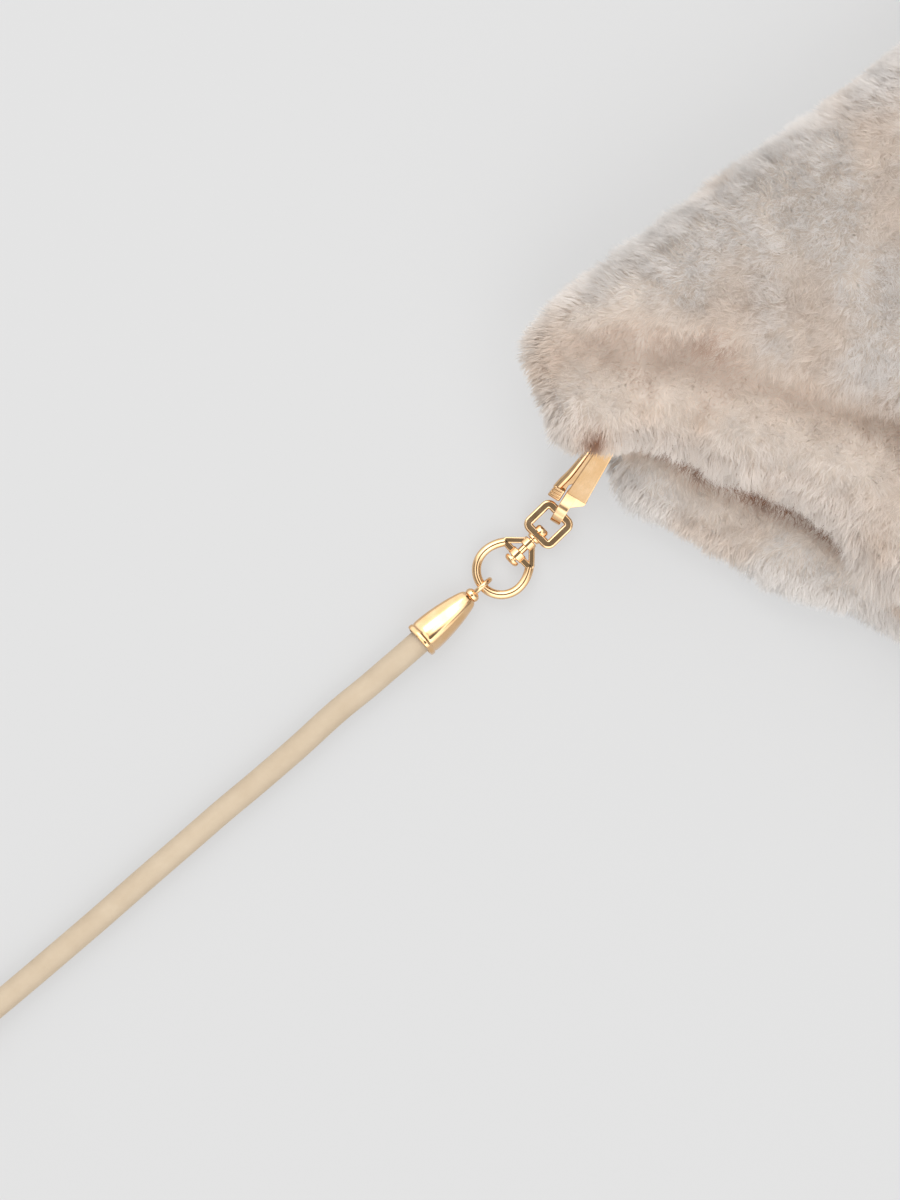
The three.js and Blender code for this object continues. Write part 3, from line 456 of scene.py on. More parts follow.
def mitten_inside(along, angle):
    half = half_width(along) - SIDE_WALL
    top = table_value(OUTLINE, "rise", along) * MITTEN_HEIGHT - BACK_WALL
    floor = np.interp(along, (0.0, 0.15), (LIP_FLOOR, PALM_WALL))
    middle = (floor + top) / 2
    lift = np.sign(np.sin(angle)) * np.abs(np.sin(angle)) ** 0.5
    z = middle + (top - floor) / 2 * lift
    return np.stack([half * np.cos(angle), station_y(along, angle), z], axis=-1)


def mitten_rings():
    """Places along the mitten's wall: out of the hollow, round the lip and up to the fingertips"""
    turn = np.linspace(0, math.pi, 25)[1:-1]
    inner = np.linspace(HOLLOW_END, LIP_REACH, 42)
    outer = 1 - (1 - LIP_REACH) * (1 - np.linspace(0, 1, 120)) ** 1.15
    along = np.concatenate([inner, LIP_REACH * (1 - np.sin(turn)), outer])
    layer = np.concatenate([np.zeros(len(inner)), (1 - np.cos(turn)) / 2, np.ones(len(outer))])
    wide = np.sin(np.minimum(turn, math.pi / 2)) ** 0.7
    widening = np.concatenate([np.zeros(len(inner)), wide, np.ones(len(outer))])
    return along, layer, widening


def rounded_end(grid, reach, rings=9):
    """Grid with its last ring closed over a low dome"""
    last = grid[-1]
    middle = last.mean(axis=0)
    ahead = (middle - grid[-2].mean(axis=0)) * [1, 1, 0]
    turn = np.linspace(0, math.pi / 2, rings + 2)[1:-1, None, None]
    dome = middle + (last - middle) * np.cos(turn) + unit(ahead) * reach * np.sin(turn)
    return np.concatenate([grid, dome])


def wall_grid(around=176):
    along, layer, widening = mitten_rings()
    along, angle = np.meshgrid(along, full_turn(around), indexing="ij")
    share = np.stack([widening, layer, layer], axis=-1)[:, None, :]
    grid = mitten_inside(along, angle) * (1 - share) + mitten_outside(along, angle) * share
    return rounded_end(grid, reach=2.5)


def thumb_grid(around=72, stations=60):
    share = 1 - (1 - np.linspace(0.08, 1, stations)) ** 1.3
    share, angle = np.meshgrid(share, full_turn(around), indexing="ij")
    full = table_value(THUMB_OUTLINE, "full", share)
    swell = (1 + full) / 2
    top = SEAM_HEIGHT + (THUMB_HEIGHT - PILE_DEPTH - SEAM_HEIGHT) * swell
    z = section_height(angle, top, 0.7, swell)
    ahead = THUMB_LENGTH * share
    across = (THUMB_WIDTH / 2 - PILE_DEPTH) * full * np.cos(angle)
    x = THUMB_ROOT[0] + math.sin(THUMB_SPLAY) * ahead + math.cos(THUMB_SPLAY) * across
    y = THUMB_ROOT[1] + math.cos(THUMB_SPLAY) * ahead - math.sin(THUMB_SPLAY) * across
    return rounded_end(np.stack([x, y, z], axis=-1), reach=2.0)


def grid_normals(grid):
    along = np.gradient(grid, axis=0)
    around = np.roll(grid, -1, axis=1) - np.roll(grid, 1, axis=1)
    return unit(np.cross(along, around))


def smooth_mesh(name, points, faces):
    """Mesh from arrays of points in millimetres and of faces with as many corners each"""
    mesh = bpy.data.meshes.new(name)
    corners = faces.shape[1]
    mesh.vertices.add(len(points))
    mesh.vertices.foreach_set("co", (points * MM).astype(np.float32).ravel())
    mesh.loops.add(faces.size)
    mesh.loops.foreach_set("vertex_index", faces.astype(np.int32).ravel())
    mesh.polygons.add(len(faces))
    mesh.polygons.foreach_set("loop_start", np.arange(0, faces.size, corners, dtype=np.int32))
    mesh.polygons.foreach_set("use_smooth", np.ones(len(faces), bool))
    mesh.update(calc_edges=True)
    return mesh


def grid_piece(name, grid):
    """Closed body from rings of points, with one face over each end"""
    index = np.arange(grid.shape[0] * grid.shape[1]).reshape(grid.shape[:2])
    mesh = smooth_mesh(name, grid.reshape(-1, 3), ring_faces(index)[:, ::-1])
    face_outward(mesh, close_ends=True)
    return add_object(name, mesh)


# ---- Fur: pile

TUFT_PITCH = 6.5
WISP_PITCH = 1.9
PILE_LENGTH = 7.5
PILE_LIE = np.array([0.25, -1.0, 0.0])
STRAND_BEND = 0.6
PILE_SEED = 7

# Numbers of the wall's rings at which the mitten's piles part
LIP_START, LIP_END, CUFF_END, WRIST_END = 36, 76, 100, 132

# Middle and spread of the long lock over the slit, in millimetres
LOCK_ACROSS = (16, 13)

# Places of painted shade on the pile in millimetres, its colour warmer and darker there: a hollow beside
# the clasp and a patch in the crease
SHADED_HOLLOW_PLACE = (-58.5, -140.0)
SHADED_HOLLOW_REACH = (3, 3)
CREASE_SHADE_PLACE = (-50, -107)
CREASE_SHADE_REACH = (9, 3.5)


def field(points, pitch, seed, count=7):
    """Smooth uneven field of waves between about -1 and 1, with features a pitch apart"""
    source = np.random.default_rng(seed)
    headings = unit(source.normal(size=(count, 3)))
    phases = source.uniform(0, 2 * math.pi, count)
    stretches = source.uniform(0.7, 1.5, count)
    total = np.zeros(points.shape[:-1])
    for heading, phase, stretch in zip(headings, phases, stretches):
        total += np.sin(points @ heading * (math.pi / pitch * stretch) + phase)
    return total / 2.6


def lumps(points):
    """Height of the soft lumps of the pile, between about -1 and 1"""
    return 0.7 * field(points, 21, 11) + 0.28 * field(points, 10, 12)


def tuft_of(rng, x, y, pitch):
    """Number of the uneven cell that each point falls in"""
    cell_x = np.floor(x / pitch).astype(int)
    cell_y = np.floor(y / pitch).astype(int)
    low_x, low_y = cell_x.min() - 1, cell_y.min() - 1
    wide = cell_x.max() - low_x + 2
    high = cell_y.max() - low_y + 2
    jitter = rng.uniform(0.1, 0.9, (wide, high, 2))
    best = np.full(len(x), np.inf)
    found = np.zeros(len(x), int)
    for step_x in (-1, 0, 1):
        for step_y in (-1, 0, 1):
            near_x, near_y = cell_x + step_x, cell_y + step_y
            spot = jitter[near_x - low_x, near_y - low_y]
            away = (x - (near_x + spot[:, 0]) * pitch) ** 2 + (y - (near_y + spot[:, 1]) * pitch) ** 2
            closer = away < best
            best[closer] = away[closer]
            found[closer] = ((near_x - low_x) * high + near_y - low_y)[closer]
    return np.unique(found, return_inverse=True)[1]


def per_group(draw, first, second, group):
    """One random draw for each tuft or wisp, given to all its strands"""
    return draw(first, second, group.max() + 1)[group]


def tuft_mean(tuft, values):
    """Mean of the values in each point's own tuft"""
    count = np.bincount(tuft).astype(float)
    return np.stack([np.bincount(tuft, values[:, k]) / count for k in range(3)], axis=-1)[tuft]


def turned(vectors, axes, angles):
    """Vectors turned about unit axes"""
    cos, sin = np.cos(angles)[:, None], np.sin(angles)[:, None]
    along = (vectors * axes).sum(-1, keepdims=True)
    return vectors * cos + np.cross(axes, vectors) * sin + axes * along * (1 - cos)


def cell_areas(ring):
    """Area of every cell of a grid"""
    side_a = ring[1:, :-1] - ring[:-1, :-1]
    side_b = ring[:-1, 1:] - ring[:-1, :-1]
    return np.linalg.norm(np.cross(side_a, side_b), axis=-1)


def root_strands(rng, grid, normals, count):
    """Roots spread by weight and by the area that their tips cover: places, normals, flat coordinates"""
    ring = np.concatenate([grid, grid[:, :1]], axis=1)
    ring_normals = np.concatenate([normals, normals[:, :1]], axis=1)
    around = np.linalg.norm(np.diff(ring, axis=1), axis=-1)
    arc = np.concatenate([np.zeros((len(ring), 1)), np.cumsum(around, axis=1)], axis=1)
    arc -= arc[:, -1:] / 2
    run = np.linalg.norm(np.diff(grid, axis=0), axis=-1).mean(axis=1)
    run = np.concatenate([[0], np.cumsum(run)])
    area = np.maximum(cell_areas(ring + 4.5 * ring_normals), 0.4 * cell_areas(ring))
    centre = (ring[1:, :-1] + ring[:-1, 1:]) / 2
    chance = (area * strand_weight(centre, ring_normals[:-1, :-1])).ravel()
    cells = rng.choice(chance.size, count, p=chance / chance.sum())
    i, j = np.unravel_index(cells, area.shape)
    a, b = rng.random(count), rng.random(count)

    def blend(values):
        first = values[i, j] * (1 - b)[:, None] + values[i, j + 1] * b[:, None]
        second = values[i + 1, j] * (1 - b)[:, None] + values[i + 1, j + 1] * b[:, None]
        return first * (1 - a)[:, None] + second * a[:, None]

    roots = blend(ring)
    root_normals = unit(blend(ring_normals))
    flat_x = blend(arc[..., None])[:, 0]
    flat_y = run[i] * (1 - a) + run[i + 1] * a
    order = np.lexsort((flat_x, np.floor(flat_y / 4)))
    return roots[order], root_normals[order], flat_x[order], flat_y[order]


def placement(place, turn, tilt=0.0):
    """Matrix of a fitting's own frame, its place in millimetres and its turns in degrees"""
    spin = Matrix.Rotation(math.radians(turn), 4, "Z") @ Matrix.Rotation(math.radians(tilt), 4, "X")
    return Matrix.Translation(Vector(place) * MM) @ spin


CLASP_PLACE = placement((-54.105, -160.261, 2.95), 4.3, 27)
CLASP_ROOM = ((-8.8, -1.0, -2.8), (5.6, 26.0, 3.0))


def clear_of_clasp(*places):
    """Which strands keep out of the clasp and of its lever's swing"""
    back = np.array(CLASP_PLACE.inverted())
    free = np.ones(len(places[0]), bool)
    low, high = CLASP_ROOM
    for points in places:
        own = points @ back[:3, :3].T + back[:3, 3] / MM
        free &= ~np.all((own > low) & (own < high), axis=1)
    return free


def grow_pile(name, rng, grid, normals, count, width=0.2):
    """Pile of fine strands in wisps and tufts, each strand a narrow blade that bends once"""
    roots, upward, flat_x, flat_y = root_strands(rng, grid, normals, count)
    tuft = tuft_of(rng, flat_x, flat_y, TUFT_PITCH)
    wisp = tuft_of(rng, flat_x, flat_y, WISP_PITCH)
    pile = unit(PILE_LIE - (upward @ PILE_LIE)[:, None] * upward)
    swirl = 0.5 * field(roots, 24, 13)
    swirl += per_group(rng.normal, 0, 0.45, tuft) + per_group(rng.normal, 0, 0.45, wisp)
    swirl += rng.normal(0, 0.7, count)
    pile = turned(pile, upward, swirl)
    lean = 0.5 + per_group(rng.normal, 0, 0.05, tuft) + per_group(rng.normal, 0, 0.06, wisp)
    lean = np.clip(lean + rng.normal(0, 0.14, count), 0.1, 1.2)
    length = fur_length(roots, upward)
    length *= per_group(rng.uniform, 0.92, 1.09, tuft) * per_group(rng.uniform, 0.96, 1.04, wisp)
    length *= rng.uniform(0.8, 1.04, count)
    first = upward * np.cos(lean * 0.55)[:, None] + pile * np.sin(lean * 0.55)[:, None]
    second = upward * np.cos(lean * 1.35)[:, None] + pile * np.sin(lean * 1.35)[:, None]
    middles = roots + first * (length * STRAND_BEND)[:, None]
    tips = middles + second * (length * (1 - STRAND_BEND))[:, None]
    tuft_tips = tuft_mean(tuft, tips)
    wisp_tips = tuft_mean(wisp, tips)
    hold = rng.uniform(0.0, 0.3, count)[:, None]
    middles += 0.4 * hold * (tuft_mean(wisp, middles) - middles)
    spread = tips - tuft_tips
    tips += hold * (wisp_tips - tips) + 0.08 * (tuft_tips - tips)
    free = clear_of_clasp(middles, (middles + tips) / 2, tips)
    return blade_piece(name, rng, roots[free], upward[free], middles[free], tips[free], spread[free], width)


def lay_out_blades(mesh, faces, count):
    """Flat map with a cell of its own for each blade, root below and tip above"""
    cells = math.ceil(math.sqrt(count))
    cell = np.stack([np.arange(count) % cells, np.arange(count) // cells], axis=-1)[:, None, :]
    blade = np.array([(0.5, 0.04), (0.96, 0.5), (0.5, 0.96), (0.04, 0.5)])
    spots = ((cell + blade) / cells).reshape(-1, 2)[faces.ravel()]
    mesh.uv_layers.new(name="OFBake").data.foreach_set("uv", spots.astype(np.float32).ravel())


def blade_piece(name, rng, roots, upward, middles, tips, spread, width):
    """One mesh of all strands, its shading turned with the tufts so that the pile looks soft"""
    count = len(roots)
    floor = rng.uniform(0.1, 0.7, count)
    for points in (middles, tips):
        points[:, 2] = np.maximum(points[:, 2], floor)
    heading = unit(tips - roots)
    lift = 0.9 * held((roots[:, 2:] - 1) / 7)
    soft = unit(upward + 0.07 * spread + lift * np.array([0, 0, 1]))
    side = unit(np.cross(heading, soft) + rng.normal(0, 0.35, (count, 3)))
    side = unit(side - heading * (side * heading).sum(-1, keepdims=True))
    half = (width / 2 * rng.uniform(0.7, 1.2, count) * (1.35 - 0.65 * fineness(roots)))[:, None]
    points = np.stack([roots, middles + side * half, tips, middles - side * half], axis=1)
    facing = np.cross(points[:, 1] - points[:, 0], points[:, 3] - points[:, 0])
    wrong = (facing * soft).sum(-1) < 0
    points[wrong] = points[wrong][:, [0, 3, 2, 1]]
    base = np.arange(count)[:, None] * 4
    faces = np.concatenate([base + [0, 1, 3], base + [1, 2, 3]], axis=1).reshape(-1, 3)
    mesh = smooth_mesh(name, points.reshape(-1, 3), faces)
    mesh.normals_split_custom_set_from_vertices(np.repeat(soft, 4, axis=0))
    lay_out_blades(mesh, faces, count)
    layers = {
        "pile_share": np.tile([0.0, 0.55, 1.0, 0.55], count),
        # Each strand's share of painted shade, warmer and darker in hollows, the crease and the mouth
        "pile_painted_shade": np.repeat(painted_shade(roots), 4),
        "pile_tone": np.repeat(rng.random(count), 4),
    }
    for label, values in layers.items():
        mesh.attributes.new(label, "FLOAT", "POINT").data.foreach_set("value", values.astype(np.float32))
    return add_object(name, mesh)


def hem_line(points, row):
    """How far from the cuff's end a line of the hem runs, read across the mitten at each point"""
    across = np.clip(points[..., 0] / (HEM_WIDTH / 2), -1, 1)
    return table_value(HEM_LINES, row, across) * HEM_ROLL


def mouth_share(points):
    """Share by which points lie in the mouth, under the upper hem and between the sides"""
    x, y, z = np.moveaxis(points, -1, 0)
    rim = hem_line(points, "upper") - MITTEN_LENGTH / 2
    under = held((y - rim + 3) / 4) * held((24 - z) / 3)
    within = held((half_width(0.06) - 12 - np.abs(x)) / 4)
    return under * within * held((z - 6) / 5) * held((rim + 45 - y) / 10)


# Share of painted shade round one spot of the pile
def painted_shade_spot(x, y, place, reach):
    return bell(x, place[0], reach[0]) * bell(y, place[1], reach[1])


def painted_shade(points):
    """Painted shade: a warmer, darker colour in hollows between lumps and where the pile is short, along
    the crease, over the upper hem roll and in a patch in the crease, and, doubled to dark brown, in the
    mouth and the hollow beside the clasp
    """
    x, y, z = np.moveaxis(points, -1, 0)
    away = (y + MITTEN_LENGTH / 2 - hem_line(points, "crease")) / (CREASE_SPREAD * 0.8)
    upper = held((z - SEAM_HEIGHT) / 8)
    fold = 1.2 * np.exp(-away * away) * upper + 0.4 * held(-0.8 * away) * upper
    low = -0.1 - 1.2 * lumps(points) + 0.3 * field(points, 30, 14) - 0.5 * field(points, 8, 15)
    hollow = painted_shade_spot(x, y, SHADED_HOLLOW_PLACE, SHADED_HOLLOW_REACH) * (z > 12)
    patch = painted_shade_spot(x, y, CREASE_SHADE_PLACE, CREASE_SHADE_REACH) * (z > 20)
    # Painted shadow: the mouth and the hollow beside the clasp take twice the share, which the pile's
    # colour reads as dark brown
    inside = np.maximum(mouth_share(points), hollow)
    return (np.clip(0.7 * held(low) + fold, 0, 1.2) + 0.3 * patch) * (1 - inside) + 2 * inside


def fineness(points):
    """Share of the finest and densest pile: full on the cuff's left half, none at the far end"""
    return held(1 - np.maximum(points[..., 0] - 20, points[..., 1] + 25) / 50)


def eased(normals, passes=12):
    """Directions evened out between neighbours, so that the pile fans out over every fold"""
    for _ in range(passes):
        ahead = np.concatenate([normals[1:], normals[-1:]])
        behind = np.concatenate([normals[:1], normals[:-1]])
        beside = np.roll(normals, 1, axis=1) + np.roll(normals, -1, axis=1)
        normals = unit(2 * normals + ahead + behind + beside)
    return normals


def lumpy(grid):
    """Grid with its soft lumps raised, and its normals"""
    normals = grid_normals(grid)
    raised = grid + normals * (LUMP_HEIGHT * lumps(grid))[..., None]
    raised[..., 2] = np.maximum(raised[..., 2], 1.0)
    return raised, eased(grid_normals(raised))


wall, wall_normals = lumpy(wall_grid())
rng = np.random.default_rng(PILE_SEED)
mitten_skin = grid_piece("fur_backing", wall)
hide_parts("back_panel", "palm_panel")
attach(mitten_skin, BODY)
thumb, thumb_normals = lumpy(thumb_grid())
thumb_skin = grid_piece("thumb_backing", thumb)
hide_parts("thumb")
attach(thumb_skin, BODY)


def fur_length(points, upward):
    """Length of the pile in millimetres: short under the palm and in the mouth, long in one lock"""
    x, y, z = np.moveaxis(points, -1, 0)
    rim = hem_line(points, "upper") - MITTEN_LENGTH / 2
    lock = bell(x, *LOCK_ACROSS) * held((rim + 9 - y) / 6) * held((z - 18) / 4)
    uneven = 0.75 * field(points, 8, 15) * held(upward[:, 2] + 0.6)
    length = PILE_LENGTH - 2.0 * held(-upward[:, 2]) + 4.5 * lock + uneven
    return length * (1 - 0.35 * held(painted_shade(points) - 1))


def strand_weight(points, normals):
    """How closely strands stand: most where the pile is finest, half as close under the palm"""
    weight = 1 + 2.5 * fineness(points)
    return weight * np.where(normals[..., 2] < -0.6, 0.5, 1.0)


PILES = (
    ("pile_lip", wall, wall_normals, slice(LIP_START, LIP_END), 99000),
    ("pile_cuff", wall, wall_normals, slice(LIP_END - 1, CUFF_END), 99000),
    ("pile_wrist", wall, wall_normals, slice(CUFF_END - 1, WRIST_END), 99000),
    ("pile_hand", wall, wall_normals, slice(WRIST_END - 1, None), 95000),
    ("pile_thumb", thumb, thumb_normals, slice(None), 36000),
)
for name, grid, normals, rows, count in PILES:
    pile = grow_pile(name, rng, grid[rows], normals[rows], count)
    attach(pile, BODY)


# ---- Fur: materials and the marks that materials share


def new_group(name, inputs, outputs):
    """Node group of numbers: named inputs, each with its first value, and named outputs"""
    group = bpy.data.node_groups.new(name, "ShaderNodeTree")
    for label, value in inputs.items():
        socket = group.interface.new_socket(label, in_out="INPUT", socket_type="NodeSocketFloat")
        socket.default_value = value
    for label in outputs:
        group.interface.new_socket(label, in_out="OUTPUT", socket_type="NodeSocketFloat")
    return group, group.nodes.new("NodeGroupInput").outputs, group.nodes.new("NodeGroupOutput")


def handling_group():
    """Faint smears and hairlines left by hands: a mask, and heights for the bump"""
    scales = {"Smear Scale": 300.0, "Hairline Scale": 900.0}
    group, given, result = new_group("handling_marks", scales, ("Smears", "Hairlines"))
    where = add_node(group, "TexCoord")["Object"]
    noise = {"Vector": where, "Scale": given["Smear Scale"], "Detail": 5, "Roughness": 0.62}
    smears = add_node(group, "TexNoise", noise)
    stretch = {"Vector": where, "Rotation": (0.2, 0.5, 0.6), "Scale": (1.0, 0.06, 1.0)}
    stretched = add_node(group, "Mapping", stretch)["Vector"]
    noise = {"Vector": stretched, "Scale": given["Hairline Scale"], "Detail": 3}
    hairs = add_node(group, "TexNoise", noise)
    feed(group, result, {"Smears": smears["Fac"], "Hairlines": hairs["Fac"]})
    return group


def grain_group():
    """Leather grain: height of small pebbles with pores between, and their uneven tone"""
    scales = {"Pebble Scale": 1600.0, "Tone Scale": 120.0}
    group, given, result = new_group("leather_grain", scales, ("Height", "Tone"))
    where = add_node(group, "TexCoord")["Object"]
    cells = {"Vector": where, "Scale": given["Pebble Scale"], "Smoothness": 0.35}
    pebbles = add_node(group, "TexVoronoi", cells, feature="SMOOTH_F1")
    noise = {"Vector": where, "Scale": given["Tone Scale"], "Detail": 6, "Roughness": 0.6}
    tone = add_node(group, "TexNoise", noise)["Fac"]
    blend = {0: tone, 1: 0.04, 2: pebbles["Distance"]}
    height = add_node(group, "Math", blend, operation="MULTIPLY_ADD")
    feed(group, result, {"Height": height["Value"], "Tone": tone})
    return group


handling = handling_group()
grain = grain_group()


def fur_material():
    """Pile that pales toward its tips, turns warmer and darker with its painted shade, and lets light
    through
    """
    material, tree, shader = plain_material("plush_pile")
    labels = ("pile_share", "pile_tone", "pile_painted_shade")
    share, tone, painted_shade_amount = [add_node(tree, "Attribute", attribute_name=label)["Fac"] for label in labels]
    pale = ((0.1, (0.86, 0.79, 0.73)), (0.5, (0.91, 0.87, 0.835)), (0.95, (0.94, 0.92, 0.9)))
    # Painted shade: no change, then a warmer, darker tint for hollows and the crease, then dark brown for
    # the shadowed mouth
    painted_shade_stops = ((0, (1, 1, 1)), (0.5, (0.97, 0.895, 0.825)), (1, (0.46, 0.26, 0.17)))
    halved = add_node(tree, "Math", {0: painted_shade_amount, 1: 0.5}, operation="MULTIPLY")
    tints = {"Factor": 1, "A": add_ramp(tree, share, pale), "B": add_ramp(tree, halved["Value"], painted_shade_stops)}
    tinted = add_node(tree, "Mix", tints, data_type="RGBA", blend_type="MULTIPLY")
    vary = add_node(tree, "MapRange", {"Value": tone, "To Min": 0.93, "To Max": 1.03})
    shade = {"Color": tinted["Result"], "Value": vary["Result"]}
    color = add_node(tree, "HueSaturation", shade)["Color"]
    looks = {"Base Color": color, "Roughness": 0.85, "Specular IOR Level": 0.15}
    looks |= {"Sheen Weight": 0.15, "Sheen Roughness": 0.5, "Sheen Tint": (1.0, 0.93, 0.86, 1)}
    feed(tree, shader, looks)
    through = add_node(tree, "BsdfTranslucent", {"Color": color})
    both = {"Fac": 0.55, 1: shader.outputs["BSDF"], 2: through["BSDF"]}
    surface = add_node(tree, "MixShader", both)["Shader"]
    feed(tree, tree.nodes["Material Output"], {"Surface": surface})
    return material


plush = fur_material()
for piece in bpy.data.objects:
    if piece.name.startswith("pile_"):
        piece.data.materials.append(plush)


def backing_material():
    """Cream skin that carries the pile, a little uneven, its tone darkened toward the pile's shaded roots
    as painted shade
    """
    material, tree, shader = plain_material("fur_backing")
    where = add_node(tree, "TexCoord")["Object"]
    noise = add_node(tree, "TexNoise", {"Vector": where, "Scale": 220, "Detail": 5})
    # Partly the skin's own cream, partly painted shade: tones kept darker than the pile, near its shaded
    # roots, where the skin shows between strands
    tone = add_ramp(tree, noise["Fac"], ((0.3, (0.73, 0.655, 0.585)), (0.7, (0.81, 0.74, 0.67))))
    feed(tree, shader, {"Base Color": tone, "Roughness": 0.9})
    return material


def lining_material():
    """Brown satin lining with a fine diagonal weave"""
    material, tree, shader = plain_material("satin_lining")
    where = add_node(tree, "TexCoord")["Object"]
    weave = {"Vector": where, "Scale": 420, "Distortion": 1.2, "Detail": 2}
    ribs = add_node(tree, "TexWave", weave, bands_direction="DIAGONAL")
    marks = add_node(tree, "Group", {"Smear Scale": 60.0, "Hairline Scale": 500.0}, node_tree=handling)
    tone = add_ramp(tree, marks["Smears"], ((0.3, (0.1, 0.05, 0.03)), (0.75, (0.17, 0.085, 0.05))))
    add_bump(tree, shader, ribs["Fac"], strength=0.3, distance=0.0002)
    feed(tree, shader, {"Base Color": tone, "Roughness": 0.45, "Sheen Weight": 0.3})
    return material


backing = backing_material()
mitten_skin.data.materials.append(backing)
mitten_skin.data.materials.append(lining_material())
first_outside = (LIP_START + 1) * wall.shape[1]
for face in mitten_skin.data.polygons:
    face.material_index = int(min(face.vertices) < first_outside)
thumb_skin.data.materials.append(backing)


# ---- Gold fittings and leather

SWIVEL_PLACE = placement((-54.8, -164.2, 2.95), -10)
CORD_EXIT = (-63.42, -205.84, 4.68)
NEAR_CAP_PLACE = placement(CORD_EXIT, -12.5, -3.6)
FAR_CAP_PLACE = placement((-97.45, -349.46, 4.68), 166.1, -3.6)
RING_Y = -10.65
CAP_SIDES = 72
AXIS_RADIUS = 0.02


def rounded_outline(corners, radius):
    """Outline whose corners are rounded, each by the radius or by as much as its sides allow"""
    corners = np.array(corners, dtype=float)
    line = []
    for before, corner, after in zip(np.roll(corners, 1, axis=0), corners, np.roll(corners, -1, axis=0)):
        back, forth = before - corner, after - corner
        room = min(radius, 0.45 * np.linalg.norm(back), 0.45 * np.linalg.norm(forth))
        first, second = corner + unit(back) * room, corner + unit(forth) * room
        for share in np.linspace(0, 1, 5):
            line.append((1 - share) ** 2 * first + 2 * share * (1 - share) * corner + share**2 * second)
    return np.array(line)


def plate(corners, low, high, edge, corner=0.25):
    """Flat plate with round edges between two heights"""
    outline = rounded_outline(corners, corner)
    tangent = unit(np.roll(outline, -1, axis=0) - np.roll(outline, 1, axis=0))
    inward = np.stack([-tangent[:, 1], tangent[:, 0]], axis=-1)
    area = (outline[:, 0] * np.roll(outline[:, 1], -1) - outline[:, 1] * np.roll(outline[:, 0], -1)).sum()
    inward *= np.sign(area)
    turn = np.linspace(0, math.pi / 2, 5)
    insets = np.concatenate([edge * (1 - np.sin(turn)), edge * (1 - np.cos(turn))])
    heights = np.concatenate([low + edge * (1 - np.cos(turn)), high - edge * (1 - np.sin(turn))])
    rings = []
    for inset, height in zip(insets, heights):
        flat = outline + inward * inset
        rings.append(np.column_stack([flat, np.full(len(flat), height)]))
    return np.array(rings), False


def turned_part(profile, sides=32):
    """Round part about a line along Y, from pairs of radius and Y"""
    rings = []
    for radius, y in profile:
        across, up = round_section(radius, sides).T
        rings.append(np.stack([across, np.full(sides, y), up], axis=-1))
    return np.array(rings), False


def bead(radius, low, high, edge):
    """Profile of a short round bead with round edges"""
    turn = np.linspace(0, math.pi / 2, 6)
    rise = [(radius - edge * (1 - math.sin(a)), low + edge * (1 - math.cos(a))) for a in turn]
    fall = [(radius - edge * (1 - math.cos(a)), high - edge * (1 - math.sin(a))) for a in turn]
    return [(AXIS_RADIUS, low)] + rise + fall + [(AXIS_RADIUS, high)]


def rounded_bar(start, finish, width, height, edge):
    """Straight bar between two points, its ends drawn in a little"""
    start, finish = np.array(start, dtype=float), np.array(finish, dtype=float)
    share = np.array([0, 0.25 * edge, edge, 1 - edge, 1 - 0.25 * edge, 1])[:, None]
    share[1:3] = share[1:3] / np.linalg.norm(finish - start)
    share[3:5] = 1 - (1 - share[3:5]) / np.linalg.norm(finish - start)
    line = start + (finish - start) * share
    return swept(line, bar_section(width, height, edge), sizes=(0.82, 0.93, 1, 1, 0.93, 0.82))


def clasp_parts():
    """Snap hook: two face plates over a slot, spine, foot band, strap round the link's bar, hook"""
    left, right, foot, top = -1.25, 4.05, 6.35, 24.05
    face = [(left, foot), (right, foot), (3.35, top), (-0.55, top)]
    filling = [(left + 0.15, foot + 0.1), (right - 0.1, foot + 0.1), (3.95, 8.0), (-1.0, 7.5)]
    spine = [(2.6, foot + 0.3), (right - 0.12, foot + 0.3), (3.25, top), (2.6, top)]
    parts = [plate(face, 0.95, 1.8, 0.2), plate(face, -1.8, -0.95, 0.2)]
    parts += [plate(filling, -1.1, 1.1, 0.1), plate(spine, -1.1, 1.1, 0.1)]
    band = [(-1.4, 3.9), (-1.15, 3.3), (1.15, 3.0), (1.5, 3.5), (4.1, 5.5), (4.2, 6.6), (-1.4, 6.6)]
    rings, looped = plate(band, -1.45, 1.15, 0.22, 0.5)
    rings[..., 2] += np.clip(6.6 - rings[..., 1], 0, 4) * 0.24 * (rings[..., 2] > 0)
    parts.append((rings, looped))
    loop = [(0, math.cos(a) * 2.38, math.sin(a) * 2.38) for a in np.radians(np.arange(75, 345, 15))]
    strap = spline_points([(0, 6.2, 1.15), (0, 4.6, 1.4), (0, 3.1, 1.75), (0, 1.9, 2.15)] + loop, 3)
    parts.append(swept(strap, bar_section(0.8, 2.7, 0.18), upward=(1, 0, 0)))
    bend = np.radians(np.arange(0, 205, 15))
    curve = [(1.4 + 2.8 * math.cos(a), 26.65 + 2.8 * math.sin(a), 0) for a in bend]
    hook = spline_points([(2.7, 22.0, 0), (3.1, 24.0, 0), (3.75, 25.4, 0)] + curve, 3)
    end = len(hook) - 1
    sizes = np.interp(np.arange(len(hook)), (0, end - 7, end - 1, end), (1, 1, 0.85, 0.6))
    parts.append(swept(hook, bar_section(1.6, 2.4, 0.4), sizes=sizes))
    parts.append(turned_axis_part(bead(0.6, -1.2, 1.2, 0.1), (0.05, 15.0, 0)))
    return parts


def turned_axis_part(profile, centre):
    """Round part about a line along Z through a centre"""
    rings, looped = turned_part(profile, 24)
    return np.stack([rings[..., 0], -rings[..., 2], rings[..., 1]], axis=-1) + np.array(centre), looped


